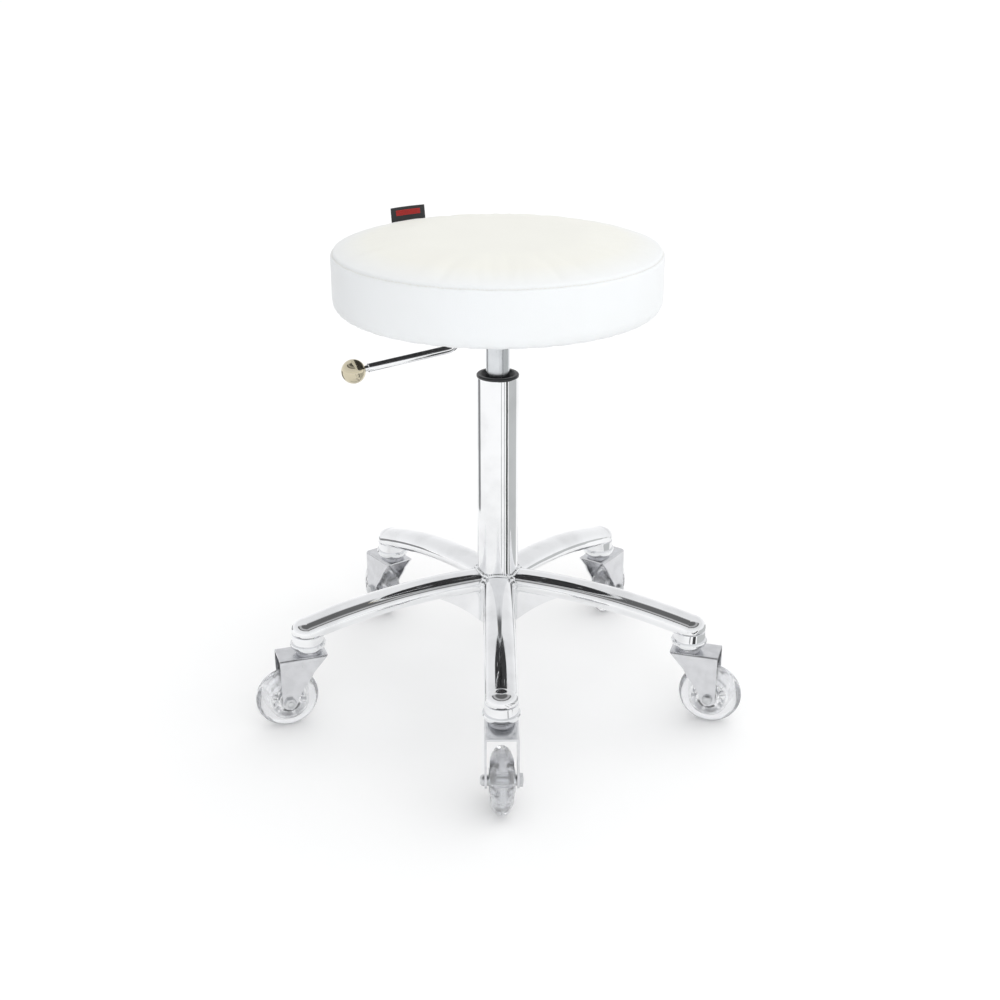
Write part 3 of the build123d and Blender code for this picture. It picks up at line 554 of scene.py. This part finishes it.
# %% Angles of the cover's columns
COLUMNS = 288
BACK_JOIN = math.pi / 2
JOIN_STEPS = (-5.0, -3.4, -2.2, -1.2, -0.5, 0.0, 0.5, 1.2, 2.2, 3.4, 5.0)
angles = full_turn(COLUMNS)
angles = [angle for angle in angles if abs(angle - BACK_JOIN) * SEAT_R > 6.5 * MM]
angles += [BACK_JOIN + step * MM / SEAT_R for step in JOIN_STEPS]
angles.sort()
print("columns:", len(angles))

# %% Sewn detail
SEAM_DEPTH = 1.5 * MM
SEAM_HALF = 1.5 * MM
STITCH_PITCH = 4.6 * MM
PLEATS = 46
PLEAT_DEPTH = 1.15 * MM


def bell(distance, half_width):
    return math.exp(-((distance / half_width) ** 2))


def pleat_depth(angle):
    """0 on a pleat's fold, 1 in the crease beside it; no two pleats are alike."""
    wobble = 0.35 * noise.noise(Vector((math.cos(angle) * 3, math.sin(angle) * 3, 0.7)))
    share = (angle * PLEATS / (2 * math.pi) + wobble) % 1.0
    depth = abs(share * 2 - 1) ** 2.2
    return depth * (0.55 + 0.9 * abs(noise.noise(Vector((math.cos(angle) * 9, math.sin(angle) * 9, 2.1)))))


def sewn(point, stretch, angle, along):
    """How far a cover point is drawn in, and how deep it lies in a seam or fold from 0 to 1, which sets its
    painted shade.
    """
    pucker = 0.75 + 0.25 * math.cos(angle * SEAM_R * 2 * math.pi / STITCH_PITCH)
    seam = bell(along, SEAM_HALF)
    drawn = SEAM_DEPTH * seam * pucker
    fold = seam
    lip = bell(along - 3.4 * MM, 1.8 * MM) + bell(along + 3.4 * MM, 1.8 * MM)
    drawn -= 0.35 * MM * lip
    across = (angle - BACK_JOIN) * SEAT_R
    if stretch in ("band", "foot") and abs(across) < 8 * MM:
        join = bell(across, 1.2 * MM)
        drawn += 1.0 * MM * join - 0.3 * MM * bell(abs(across) - 2.6 * MM, 1.4 * MM)
        fold = max(fold, join * 0.9)
    gather = min(1.0, max(0.0, (FOOT_Z + 17 * MM - point.z) / (17 * MM)))
    if stretch in ("foot", "hem", "band") and gather > 0:
        depth = pleat_depth(angle) * gather**1.6
        drawn += PLEAT_DEPTH * depth
        fold = max(fold, depth * 0.6)
    if stretch in ("top", "band"):
        ripple = noise.noise(Vector((point.x * 22, point.y * 22, point.z * 30)))
        drawn += 0.35 * MM * ripple * (1 - seam)
    return drawn, min(1.0, fold)


print("seam depth", SEAM_DEPTH * 1000, "mm;", PLEATS, "pleats")

# %% Draw the cover


def section_normals():
    """Outward direction of the section at each of its points, and the length along it."""
    normals, lengths, length = [], [], 0.0
    for index, (radius, height, _) in enumerate(section):
        before = section[max(0, index - 1)]
        after = section[min(len(section) - 1, index + 1)]
        run = Vector((after[0] - before[0], after[1] - before[1])).normalized()
        normals.append(Vector((-run.y, run.x)))
        if index:
            length += math.hypot(radius - section[index - 1][0], height - section[index - 1][1])
        lengths.append(length)
    return normals, lengths


def draw_cover(form):
    tree = BVHTree.FromPolygons(
        [vertex.co for vertex in form.vertices], [tuple(face.vertices) for face in form.polygons]
    )
    normals, lengths = section_normals()
    seam_at = lengths[[point[2] for point in section].index("seam")]
    mesh = bmesh.new()
    crease_shade_layer = mesh.verts.layers.float.new("fold")
    top_light_layer = mesh.verts.layers.float.new("top_panel")
    rings = []
    for (radius, height, stretch), normal, length in zip(section, normals, lengths):
        ring = []
        for angle in angles:
            outward = Vector((math.cos(angle), math.sin(angle), 0))
            point = outward * radius + Vector((0, 0, height))
            facing = outward * normal.x + Vector((0, 0, normal.y))
            if stretch != "hem":
                hit = tree.ray_cast(point + facing * 0.02, -facing, 0.04)[0]
                point = hit if hit else point
            drawn, fold = sewn(point, stretch, angle, length - seam_at)
            vertex = mesh.verts.new(point - facing * drawn)
            # depth in a seam or crease, which darkens the colour as painted shade
            vertex[crease_shade_layer] = fold
            # share of the painted light tint on the top panel, fading out over 45 mm before the seam
            inside = seam_at - length if stretch == "top" else 0.0
            vertex[top_light_layer] = min(1.0, max(0.0, inside / (45 * MM)))
            ring.append(vertex)
        rings.append(ring)
    return mesh, rings


def close_cover(mesh, rings):
    """Lines the board's pocket and closes both middles, so that the cover is one closed skin."""
    inner = []
    last_radius = section[-1][0]
    for radius, height in (
        (last_radius, board_low.z),
        (board_high.x, board_low.z),
        (board_high.x, board_high.z),
        (last_radius / 2, board_high.z),
    ):
        inner.append([mesh.verts.new(on_circle(radius, angle, height)) for angle in angles])
    rings = rings + inner
    count = len(angles)
    bridge(mesh, rings)
    for ring in (rings[0], rings[-1]):
        middle = sum((vertex.co for vertex in ring), Vector()) / count
        pole = mesh.verts.new(middle)
        # the crown's middle gets the full painted light tint
        pole[mesh.verts.layers.float["top_panel"]] = 1.0
        for step in range(count):
            mesh.faces.new((pole, ring[step], ring[(step + 1) % count]))


def finished_object(name, data, body, material=None):
    """Links a mesh whose points are already in place, and sets it to ride on a body."""
    if material:
        data.materials.clear()
        data.materials.append(material)
    for face in data.polygons:
        face.use_smooth = True
    thing = placed(name, data)
    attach(thing, body)
    return thing


cover_mesh, cover_rings = draw_cover(rough.data)
seam_index = [point[2] for point in section].index("seam")
seam_path = [vertex.co.copy() for vertex in cover_rings[seam_index]]
close_cover(cover_mesh, cover_rings)
cover_data = mesh_data(cover_mesh, "seat_upholstery")
bpy.data.objects.remove(rough)
upholstery = finished_object("seat_upholstery", cover_data, "seat", vinyl)
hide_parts("seat_cushion")
print("upholstery:", len(cover_data.vertices), "points")

# %% [markdown]
# ## One recipe for everything that repeats
# Stitches, staples and weld ripples are all "the same small thing again along a line", which is what
# Geometry Nodes are for. Each recipe is a tree with named inputs. A plain chain of edges goes in, a
# finished mesh comes out, and the modifier is taken off again so that nothing is left live.

# %% Geometry Nodes helper
SOCKETS = {float: "NodeSocketFloat", int: "NodeSocketInt"}


class Recipe(Net):
    """A Geometry Nodes tree with named inputs and a finish."""

    def __init__(self, name, inputs):
        tree = bpy.data.node_groups.new(name, "GeometryNodeTree")
        super().__init__(tree)
        tree.interface.new_socket("Geometry", in_out="INPUT", socket_type="NodeSocketGeometry")
        self.keys = {}
        for label, value in inputs.items():
            socket = tree.interface.new_socket(label, in_out="INPUT", socket_type=SOCKETS[type(value)])
            socket.default_value = value
            self.keys[label] = socket.identifier
        socket = tree.interface.new_socket("Finish", in_out="INPUT", socket_type="NodeSocketMaterial")
        self.keys["Finish"] = socket.identifier
        tree.interface.new_socket("Geometry", in_out="OUTPUT", socket_type="NodeSocketGeometry")
        self.start = tree.nodes.new("NodeGroupInput")

    def given(self, label):
        return Wire(self, self.start.outputs[label])

    def xyz(self, x=0.0, y=0.0, z=0.0):
        return self.node("ShaderNodeCombineXYZ", {}, {"X": x, "Y": y, "Z": z})

    def line(self, spacing):
        """The incoming edges as a curve with points at a spacing."""
        curve = self.node("GeometryNodeMeshToCurve", {}, {"Mesh": self.given("Geometry")})
        steps = {"Curve": curve, "Length": spacing}
        return self.node("GeometryNodeResampleCurve", {"mode": "LENGTH"}, steps)

    def along(self):
        """The rotation that turns Z along the line."""
        tangent = self.node("GeometryNodeInputTangent")
        return self.node("FunctionNodeAlignRotationToVector", {"axis": "Z"}, {"Vector": tangent})

    def end(self, geometry):
        solid = self.node("GeometryNodeRealizeInstances", {}, {"Geometry": geometry})
        sockets = {"Geometry": solid, "Material": self.given("Finish")}
        painted = self.node("GeometryNodeSetMaterial", {}, sockets)
        last = self.tree.nodes.new("NodeGroupOutput")
        self.tree.links.new(painted.socket, last.inputs[0])

    def bake(self, name, chains, values, finish, body, slot):
        """Runs the recipe on chains of points, each (points, closed), and keeps the plain mesh."""
        data = bpy.data.meshes.new(name + "_path")
        points, edges = [], []
        for chain, closed in chains:
            first = len(points)
            points += [tuple(point) for point in chain]
            edges += [(first + step, first + step + 1) for step in range(len(chain) - 1)]
            if closed:
                edges.append((len(points) - 1, first))
        data.from_pydata(points, edges, [])
        path = placed(name + "_path", data)
        modifier = path.modifiers.new("recipe", "NODES")
        modifier.node_group = self.tree
        for label, value in {**values, "Finish": finish}.items():
            modifier[self.keys[label]] = value
        result = evaluated_mesh(path)
        result.name = name
        bpy.data.objects.remove(path)
        thing = finished_object(name, result, body)
        print(name + ":", len(result.polygons), "faces from", len(chains), "paths")
        return thing


# %% [markdown]
# ## Stitches
# The top panel and the band are joined by a lockstitch in the seam's valley. A stitch is a short bead
# of thread, thicker in the middle, laid along the line. So the line is cut into equal steps, and one
# small rounded bead is set on each, turned along the line.

# %% Stitch recipe


def stitch_recipe():
    values = {"Pitch": 4.6 * MM, "Length": 3.6 * MM, "Thickness": 0.7 * MM}
    recipe = Recipe("stitches", values)
    dots = recipe.line(recipe.given("Pitch"))
    bead = recipe.node("GeometryNodeMeshUVSphere", {}, {"Segments": 6, "Rings": 5, "Radius": 0.5})
    size = recipe.xyz(recipe.given("Thickness"), recipe.given("Thickness"), recipe.given("Length"))
    sockets = {"Points": dots, "Instance": bead, "Rotation": recipe.along(), "Scale": size}
    recipe.end(recipe.node("GeometryNodeInstanceOnPoints", {}, sockets))
    return recipe


def make_thread(name, tone):
    finish = Finish(name, {"Specular IOR Level": 0.3})
    twist = finish.cloud(0.0004, 2.0)
    finish.feed("Base Color", finish.between(twist, tuple(part * 0.85 for part in tone), tone))
    finish.feed("Roughness", 0.55 + twist * 0.2)
    finish.raise_by(twist, 0.08 * MM)
    return finish.material


white_thread = make_thread("white_thread", (0.80, 0.79, 0.74))
stitches = stitch_recipe()
stitches.bake("seam_stitches", [(seam_path, True)], {}, white_thread, "seat", "white_vinyl")

# %% Stitches of the band's back join
join_rings = section[seam_index + 6 : seam_index + 24]
join_path = [(0.0, radius - 0.75 * MM, height) for radius, height, _ in join_rings]
stitches.bake("join_stitches", [(join_path, False)], {"Pitch": 4.2 * MM}, white_thread, "seat", "white_vinyl")

# %% [markdown]
# ## Dust cover
# Under the seat a disc of black spun cloth hides the board. It is thin and springy, so it can't lie
# flat between its staples: it lifts a little between them and pulls into short radial creases. The mesh
# is rings and spokes of points, with the creases worked out from the distance to the nearest staple,
# and a Solidify modifier gives it its thickness.

# %% Dust cover
under_low, under_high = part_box("under_cover")
COVER_R = under_high.x
STAPLES = 44
STAPLE_R = COVER_R - 7.5 * MM
STEP_R = HEM_R - 0.7 * MM
CLOTH = 0.35 * MM


def cover_height(radius, angle):
    """Lower face of the cloth: flat over the mount plate, stepping down over the hem."""
    under_board = board_low.z - 0.75 * MM
    on_hem = FOOT_Z - 0.45 * MM
    share = min(1.0, max(0.0, (radius - (STEP_R - 4 * MM)) / (4 * MM)))
    height = under_board + (on_hem - under_board) * share * share * (3 - 2 * share)
    lift = math.sin(angle * STAPLES / 2) ** 2
    edge = min(1.0, max(0.0, (radius - 0.122) / 0.04))
    crease = noise.noise(Vector((math.cos(angle) * 26, math.sin(angle) * 26, radius * 18)))
    return height - edge * share * 0.45 * MM * lift - 0.2 * MM * edge * crease * share


def make_dust_cloth():
    finish = Finish("black_dust_cloth", {"Specular IOR Level": 0.2, "Sheen Weight": 0.3})
    fibres = finish.cloud(0.0009, 4.0)
    dimples = finish.cells(0.0016).above(0.35, 0.12)
    finish.feed("Base Color", finish.between(fibres, (0.010, 0.010, 0.011), (0.040, 0.040, 0.043)))
    finish.feed("Roughness", 0.80 + fibres * 0.15)
    finish.raise_by(dimples, 0.05 * MM)
    finish.raise_by(fibres, 0.06 * MM)
    return finish.material


def thicken(sheet, thickness):
    """Gives a sheet a thickness, half to each side."""
    solidify = sheet.modifiers.new("cloth", "SOLIDIFY")
    solidify.thickness = thickness
    solidify.offset = 0.0


def polar_sheet(name, radii, spokes, height):
    mesh = bmesh.new()
    rings = []
    for radius in radii:
        spots = [on_circle(radius, turn, height(radius, turn)) for turn in full_turn(spokes)]
        rings.append([mesh.verts.new(spot) for spot in spots])
    for inner, outer in zip(rings, rings[1:]):
        for step in range(spokes):
            after = (step + 1) % spokes
            mesh.faces.new((inner[step], inner[after], outer[after], outer[step]))
    mesh.faces.new(list(reversed(rings[0])))
    return mesh_data(mesh, name)


radii = [0.02 + (STEP_R - 0.025) * step / 20 for step in range(21)]
radii += [STEP_R - 4 * MM + (COVER_R - STEP_R + 4 * MM) * step / 9 for step in range(10)]
cloth_data = polar_sheet("dust_cover", radii, STAPLES * 6, cover_height)
dust_cover = finished_object("dust_cover", cloth_data, "seat", make_dust_cloth())
thicken(dust_cover, CLOTH)
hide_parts("under_cover")
print("dust cover:", len(cloth_data.vertices), "points")

# %% [markdown]
# ## Staples
# Flat-wire staples hold the hem and the dust cover to the board, shot by hand, so they follow a rough
# circle and none is quite square to it. The recipe sets a little bridge of three bars on each step of
# the circle and turns each one by a few degrees, from a fixed seed.

# %% Staple recipe


def staple_recipe():
    sizes = {"Pitch": 0.02, "Crown": 9.5 * MM, "Wire": 1.1 * MM, "Thickness": 0.55 * MM}
    recipe = Recipe("staples", {**sizes, "Turn": 0.22, "Seed": 7})
    dots = recipe.line(recipe.given("Pitch"))
    crown, wire, thick = recipe.given("Crown"), recipe.given("Wire"), recipe.given("Thickness")
    size = recipe.xyz(wire, thick, crown)
    bars = [recipe.node("GeometryNodeMeshCube", {}, {"Size": size})]
    for side in (-0.5, 0.5):
        place = recipe.xyz(0.0, thick * 0.6, (crown - thick) * side)
        bar = recipe.node("GeometryNodeMeshCube", {}, {"Size": recipe.xyz(wire, thick * 2.0, thick)})
        bars.append(recipe.node("GeometryNodeTransform", {}, {"Geometry": bar, "Translation": place}))
    staple = recipe.node("GeometryNodeJoinGeometry", {}, {"Geometry": bars})
    up = {"Rotation": recipe.along(), "Vector": (0.0, 0.0, 1.0)}
    square = recipe.node("FunctionNodeAlignRotationToVector", {"axis": "Y", "pivot_axis": "Z"}, up)
    spread = {2: recipe.given("Turn") * -1.0, 3: recipe.given("Turn"), "Seed": recipe.given("Seed")}
    skew = recipe.node("FunctionNodeRandomValue", {"data_type": "FLOAT"}, spread, output=1)
    euler = recipe.node("FunctionNodeEulerToRotation", {}, {0: recipe.xyz(y=skew)})
    aim = {0: square, 1: euler}
    turned = recipe.node("FunctionNodeRotateRotation", {"rotation_space": "LOCAL"}, aim)
    sockets = {"Points": dots, "Instance": staple, "Rotation": turned}
    recipe.end(recipe.node("GeometryNodeInstanceOnPoints", {}, sockets))
    return recipe


staple_z = FOOT_Z - 1.05 * MM
staple_ring = [on_circle(STAPLE_R, turn, staple_z) for turn in full_turn(4 * STAPLES, 0.5)]
pitch = 2 * math.pi * STAPLE_R / STAPLES
staples = staple_recipe()
staples.bake("hem_staples", [(staple_ring, True)], {"Pitch": pitch}, zinc, "seat", "zinc_plated_steel")

# %% [markdown]
# ## Weld beads
# Each arm is welded to the column all round its root, the webs are welded along both edges, and
# plating covers the lot. A bead is a row of overlapping ripples, each where the torch paused. The
# recipe sweeps a round section along the joint line and makes its radius rise and fall with the
# distance travelled, plus a little noise, so the ripples are real shape and catch the light.

# %% Weld recipe
WELD_STEP = 0.45 * MM


def weld_recipe():
    values = {"Radius": 2.3 * MM, "Ripple": 0.5 * MM, "Pitch": 2.6 * MM, "Unevenness": 1.6 * MM}
    recipe = Recipe("weld", values)
    fine = recipe.line(WELD_STEP)
    travelled = recipe.node("GeometryNodeSplineParameter", output="Length")
    place = recipe.node("GeometryNodeInputPosition")
    blotch = recipe.node("ShaderNodeTexNoise", {}, {"Vector": place, "Scale": 260.0, "Detail": 1.0})
    phase = recipe.node("ShaderNodeMath", {"operation": "DIVIDE"}, {0: travelled, 1: recipe.given("Pitch")})
    wave = (phase * math.pi).sine().size()
    radius = recipe.given("Radius") + wave * recipe.given("Ripple")
    radius = radius + (blotch - 0.5) * recipe.given("Unevenness")
    profile = recipe.node("GeometryNodeCurvePrimitiveCircle", {}, {"Resolution": 10, "Radius": 1.0})
    sockets = {"Curve": fine, "Profile Curve": profile, "Scale": radius, "Fill Caps": True}
    recipe.end(recipe.node("GeometryNodeCurveToMesh", {}, sockets))
    return recipe


# %% Where the welds run
column_low, column_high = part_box("column_tube")
COLUMN_R = column_high.x
front_low, front_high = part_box("base_arm_front")
ARM_HALF_WIDTH = front_high.x
ARM_HALF_HEIGHT = 13.5 * MM
ARM_ROOT_Z = front_high.z - ARM_HALF_HEIGHT
CASTOR_R = 242.0 * MM
ARM_DROP = 32.0 * MM
ARM_BEND_R = ((CASTOR_R - COLUMN_R) ** 2 + ARM_DROP**2) / (2 * ARM_DROP)
WEB_HALF = 2.5 * MM
WEB_REACH = 54.0 * MM
ARM_TURNS = [math.radians(-90 - 72 * step) for step in range(5)]


def arm_underside(reach, side):
    """Height of an arm's lower surface at a reach from the column's axis and a distance from its middle."""
    middle = ARM_ROOT_Z - ARM_BEND_R + math.sqrt(ARM_BEND_R**2 - (reach - COLUMN_R) ** 2)
    return middle - ARM_HALF_HEIGHT * math.sqrt(1 - (side / ARM_HALF_WIDTH) ** 2)


def turned(points, turn):
    """Points given as (reach, side, height) for an arm that points along X, turned to its place."""
    cos, sin = math.cos(turn), math.sin(turn)
    return [(reach * cos - side * sin, reach * sin + side * cos, height) for reach, side, height in points]


def on_column(angle_round_oval):
    """A point of the line where an arm's oval meets the column's round wall."""
    side = ARM_HALF_WIDTH * math.cos(angle_round_oval)
    height = ARM_ROOT_Z + ARM_HALF_HEIGHT * math.sin(angle_round_oval)
    return math.sqrt(COLUMN_R**2 - side**2) + 0.3 * MM, side, height


def between_arms(angle_round_oval):
    """A point of the valley where the sides of two arms meet, just outside the column."""
    reach = ARM_HALF_WIDTH / math.sin(math.pi / 5) * math.cos(angle_round_oval)
    return reach + 0.4 * MM, 0.0, ARM_ROOT_Z + ARM_HALF_HEIGHT * math.sin(angle_round_oval)


valley_side = COLUMN_R * math.sin(math.pi / 5)
valley_turn = math.acos(valley_side / ARM_HALF_WIDTH)
web_turn = math.acos(WEB_HALF / ARM_HALF_WIDTH)
STEPS = 24
marks = range(STEPS + 1)
arm_lines, valley_lines, web_lines = [], [], []
for turn in ARM_TURNS:
    span = math.pi - 2 * valley_turn
    over = [on_column(valley_turn + span * step / STEPS) for step in marks]
    arm_lines.append((turned(over, turn), False))
    for side in (-1, 1):
        under = [on_column(-valley_turn - (web_turn - valley_turn) * step / STEPS) for step in marks]
        arm_lines.append((turned([(r, side * s, z) for r, s, z in under], turn), False))
        heights = [column_low.z + 2 * MM + 38 * MM * k / STEPS for k in marks]
        upright = [(COLUMN_R - 0.2 * MM, side * WEB_HALF, height) for height in heights]
        web_lines.append((turned(upright, turn), False))
        reaches = [COLUMN_R + WEB_REACH * k / STEPS for k in marks]
        edge = [(reach, side * WEB_HALF, arm_underside(reach, WEB_HALF)) for reach in reaches]
        web_lines.append((turned(edge, turn), False))
    valley = [between_arms(valley_turn * (2 * step / STEPS - 1)) for step in marks]
    valley_lines.append((turned(valley, turn + math.pi / 5), False))
welds = weld_recipe()
welds.bake("arm_welds", arm_lines, {}, race_chrome, "root", "chromed_steel")
valley_values = {"Radius": 3.6 * MM, "Ripple": 1.1 * MM, "Pitch": 4.4 * MM, "Unevenness": 3.4 * MM}
welds.bake("valley_welds", valley_lines, valley_values, race_chrome, "root", "chromed_steel")
web_values = {"Radius": 0.9 * MM, "Ripple": 0.15 * MM, "Unevenness": 0.2 * MM}
welds.bake("web_welds", web_lines, web_values, race_chrome, "root", "chromed_steel")

# %% [markdown]
# ## Woven label
# A folded ribbon label is caught in the seam at the back. It is one strip of satin, folded over its
# top edge with the ends sewn in. The loop is drawn as a path up one face, round the fold and down the
# other, carried along the label's width with a slight bow, and made into cloth by Solidify. Where such
# a label would carry a name, this one has a plain bar of satin stitches.

# %% Label loop
label_low, label_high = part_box("seat_label")
label_middle = (label_low + label_high) / 2
LABEL_TURN = math.atan2(label_middle.y, label_middle.x) - math.radians(1.3)
LABEL_LEAN = math.radians(7)
LABEL_WIDTH = 48.5 * MM
LABEL_HEIGHT = 19.5 * MM
LABEL_GAP = 0.55 * MM
RIBBON = 0.4 * MM
outward = Vector((math.cos(LABEL_TURN), math.sin(LABEL_TURN), 0))
sideways = Vector((-outward.y, outward.x, 0))
upward = outward * math.sin(LABEL_LEAN) + Vector((0, 0, math.cos(LABEL_LEAN)))
facing = outward * math.cos(LABEL_LEAN) - Vector((0, 0, math.sin(LABEL_LEAN)))
label_foot = outward * (SEAT_R + 0.2 * MM) + Vector((0, 0, SEAM_Z))


def label_point(across, rise, depth):
    """A point of the label: across its width from -1 to 1, up its face, and out through it."""
    bow = 1.0 - across * across
    sag = 0.5 * MM * (1 - bow)
    wave = 0.25 * MM * math.sin(across * 4.2) * rise / LABEL_HEIGHT
    side = sideways * (across * LABEL_WIDTH / 2)
    return label_foot + side + upward * (rise - sag * rise / LABEL_HEIGHT) + facing * (depth + wave)


def label_loop():
    """(rise, depth) up the inner face, round the fold, and down the outer one."""
    straight = [LABEL_HEIGHT * 0.95 * step / 12 for step in range(13)]
    fold = [math.pi * step / 8 for step in range(1, 8)]
    radius = LABEL_GAP / 2
    path = [(rise, 0.3 * MM) for rise in straight]
    path += [(straight[-1] + radius * math.sin(t), 0.3 * MM + radius * (1 - math.cos(t))) for t in fold]
    path += [(rise, 0.3 * MM + LABEL_GAP) for rise in reversed(straight)]
    return path


label_points, label_faces = [], []
loop = label_loop()
WIDTH_STEPS = 30
for step in range(WIDTH_STEPS + 1):
    for rise, depth in loop:
        label_points.append(tuple(label_point(step / WIDTH_STEPS * 2 - 1, rise, depth)))
for step in range(WIDTH_STEPS):
    for index in range(len(loop) - 1):
        corner = step * len(loop) + index
        label_faces.append((corner, corner + len(loop), corner + len(loop) + 1, corner + 1))
label_data = bpy.data.meshes.new("woven_label")
label_data.from_pydata(label_points, [], label_faces)
print("label:", len(label_points), "points")

# %% Label cloth


def make_weave(name, low, high):
    finish = Finish(name, {"Specular IOR Level": 0.35, "Sheen Weight": 0.2})
    rows = (finish.height() * (2 * math.pi / (0.55 * MM))).sine()
    floats = finish.cloud(0.0006, 2.0, finish.stretched((0.4, 0.4, 1.6)))
    finish.feed("Base Color", finish.between(floats, low, high))
    finish.feed("Roughness", 0.48 + floats * 0.18)
    finish.raise_by(rows, 0.04 * MM)
    finish.raise_by(floats, 0.05 * MM)
    return finish.material


label_weave = make_weave("black_label_weave", (0.010, 0.010, 0.011), (0.035, 0.035, 0.037))
red_thread = make_thread("red_thread", (0.62, 0.035, 0.03))
label = finished_object("woven_label", label_data, "seat", label_weave)
thicken(label, RIBBON)
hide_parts("seat_label")

# %% Satin bar on both faces
BAR_WIDTH = 33.0 * MM
bar_lines = []
for depth in (0.3 * MM - RIBBON / 2, 0.3 * MM + LABEL_GAP + RIBBON / 2):
    for row in range(5):
        rise = (9.2 + row * 1.35) * MM
        share = BAR_WIDTH / LABEL_WIDTH
        line = [label_point(share * (step / 20 * 2 - 1), rise, depth) for step in range(21)]
        bar_lines.append((line, False))
bar_values = {"Pitch": 1.5 * MM, "Length": 1.75 * MM, "Thickness": 1.15 * MM}
stitches.bake("label_bar", bar_lines, bar_values, red_thread, "seat", "black_label_weave")

# %% [markdown]
# ## Studio
# White goods are shot in a white sweep, and chrome only looks like chrome if something dark is there to
# be reflected. So the room is white, the floor is pale, and a few dark strips lie where only the metal
# can see them. One soft sun shines from the front and one from above, and the room is a little brighter
# on the right, which leaves the left of the seat slightly in shade.

# %% Floor


def make_plain(name, tone, roughness, glow=0.0):
    look = {"Base Color": (*tone, 1.0), "Roughness": roughness, "Specular IOR Level": 0.2}
    glowing = {"Emission Color": (1.0, 1.0, 1.0, 1.0), "Emission Strength": glow}
    return Finish(name, {**look, **glowing}).material


def flat_panel(name, corners, material):
    data = bpy.data.meshes.new(name)
    data.from_pydata(corners, [], [(0, 1, 2, 3)])
    data.materials.append(material)
    thing = placed(name, data)
    return thing


FLOOR_HALF = 40.0
floor_z = -0.2 * MM
signs = ((-1, -1), (1, -1), (1, 1), (-1, 1))
floor_corners = [(x * FLOOR_HALF, y * FLOOR_HALF, floor_z) for x, y in signs]
flat_panel("floor", floor_corners, make_plain("pale_floor", (0.86, 0.86, 0.86), 0.7, glow=0.15))
print("floor at", floor_z, "m")

# %% [markdown]
# A polished column seen from above mirrors the floor around it, so the dark lines that give chrome its
# shape come from narrow dark strips laid out on the floor, pointing at the column. Each strip becomes
# one upright line. The strips are switched off for every ray but a reflection.

# %% Flags


FLAG_Z = 0.5 * MM
FLAG_FAR = 3.0


def make_flag(name, turn, spread, near, tone):
    """A dark wedge on the floor, spread over an angle, that only reflections show."""
    sides = (turn - spread / 2, turn + spread / 2)
    places = ((near, sides[0]), (FLAG_FAR, sides[0]), (FLAG_FAR, sides[1]), (near, sides[1]))
    corners = [on_circle(reach, side, FLAG_Z) for reach, side in places]
    flag = flat_panel(name, corners, make_plain(name, tone, 0.9))
    for ray in ("camera", "diffuse", "shadow", "transmission", "volume_scatter"):
        setattr(flag, "visible_" + ray, False)
    return flag


FLAGS = (
    ("dark_line", -40, 11, 0.36, (0.05, 0.05, 0.052)),
    ("thin_line", -55, 4, 0.36, (0.40, 0.40, 0.41)),
    ("fine_line", -71, 4, 0.36, (0.50, 0.50, 0.51)),
    ("grey_band", 0, 60, 0.36, (0.52, 0.53, 0.53)),
    ("edge_line", 148, 24, 0.62, (0.24, 0.24, 0.245)),
)
for name, turn, spread, near, tone in FLAGS:
    make_flag(name, math.radians(turn), math.radians(spread), near, tone)
print("flags set")

# %% Room


def dark_zone_world():
    """White all round, but metal sees a dark ceiling between the soft boxes."""
    world = bpy.data.worlds.new("studio")
    bpy.context.scene.world = world
    world.use_nodes = True
    net = Net(world.node_tree)
    world.node_tree.nodes.clear()
    facing = net.node("ShaderNodeTexCoord", output="Generated")
    x, y, z = (net.node("ShaderNodeSeparateXYZ", {}, {"Vector": facing}, output=axis) for axis in "XYZ")
    front = 1.0 - y.above(0.22, 0.08)
    dark = z.above(0.66, 0.03) * front
    lamp = z.above(0.76, 0.03) * (1.0 - z.above(0.88, 0.03)) * front
    grey = z.above(0.30, 0.25) * 0.14
    shown = 1.0 - grey - dark * 0.72 + lamp * 0.34
    path = net.node("ShaderNodeLightPath", output="Is Glossy Ray")
    soft = 0.82 + x * 0.34
    strength = path * shown + (1.0 - path) * soft
    light = net.node("ShaderNodeBackground", {}, {"Color": (0.985, 0.99, 1.0, 1.0), "Strength": strength})
    net.node("ShaderNodeOutputWorld", {}, {"Surface": light})


dark_zone_world()


def soft_sun(name, direction, spread, strength, tint):
    """A large soft source so far off that it lights the whole floor alike."""
    data = bpy.data.lights.new(name, "SUN")
    data.angle = math.radians(spread)
    data.energy = strength
    data.color = tint
    light = placed(name, data)
    light.rotation_euler = Vector(direction).to_track_quat("Z", "Y").to_euler()
    light.visible_camera = False
    light.visible_glossy = False


soft_sun("key", (0.10, -0.92, 0.36), 50, 0.66, (0.95, 0.98, 1.0))
soft_sun("top", (0.15, 0.10, 1.0), 80, 0.62, (1.0, 0.985, 0.95))
print("lights set")

# %% [markdown]
# ## Camera
# The camera stands a little over a metre and a half from the column and looks down on the seat's top. A
# longish lens keeps the upright lines nearly parallel.

# %% Camera
CAMERA_REACH = 1.598
CAMERA_HEIGHT = 0.9156
CAMERA_TURN = -0.016
CAMERA_YAW = -0.00165
CAMERA_PITCH = math.radians(22.33)
LENS = 51.16
camera_data = bpy.data.cameras.new("camera")
camera_data.lens = LENS
camera_data.sensor_width = 36.0
camera = placed("camera", camera_data)
camera.location = on_circle(CAMERA_REACH, CAMERA_TURN - math.pi / 2, CAMERA_HEIGHT)
camera.rotation_euler = (math.pi / 2 - CAMERA_PITCH, 0.0, CAMERA_TURN + CAMERA_YAW)
bpy.context.scene.camera = camera
bpy.context.scene.view_settings.view_transform = "Standard"
print("camera at", tuple(round(value, 3) for value in camera.location))
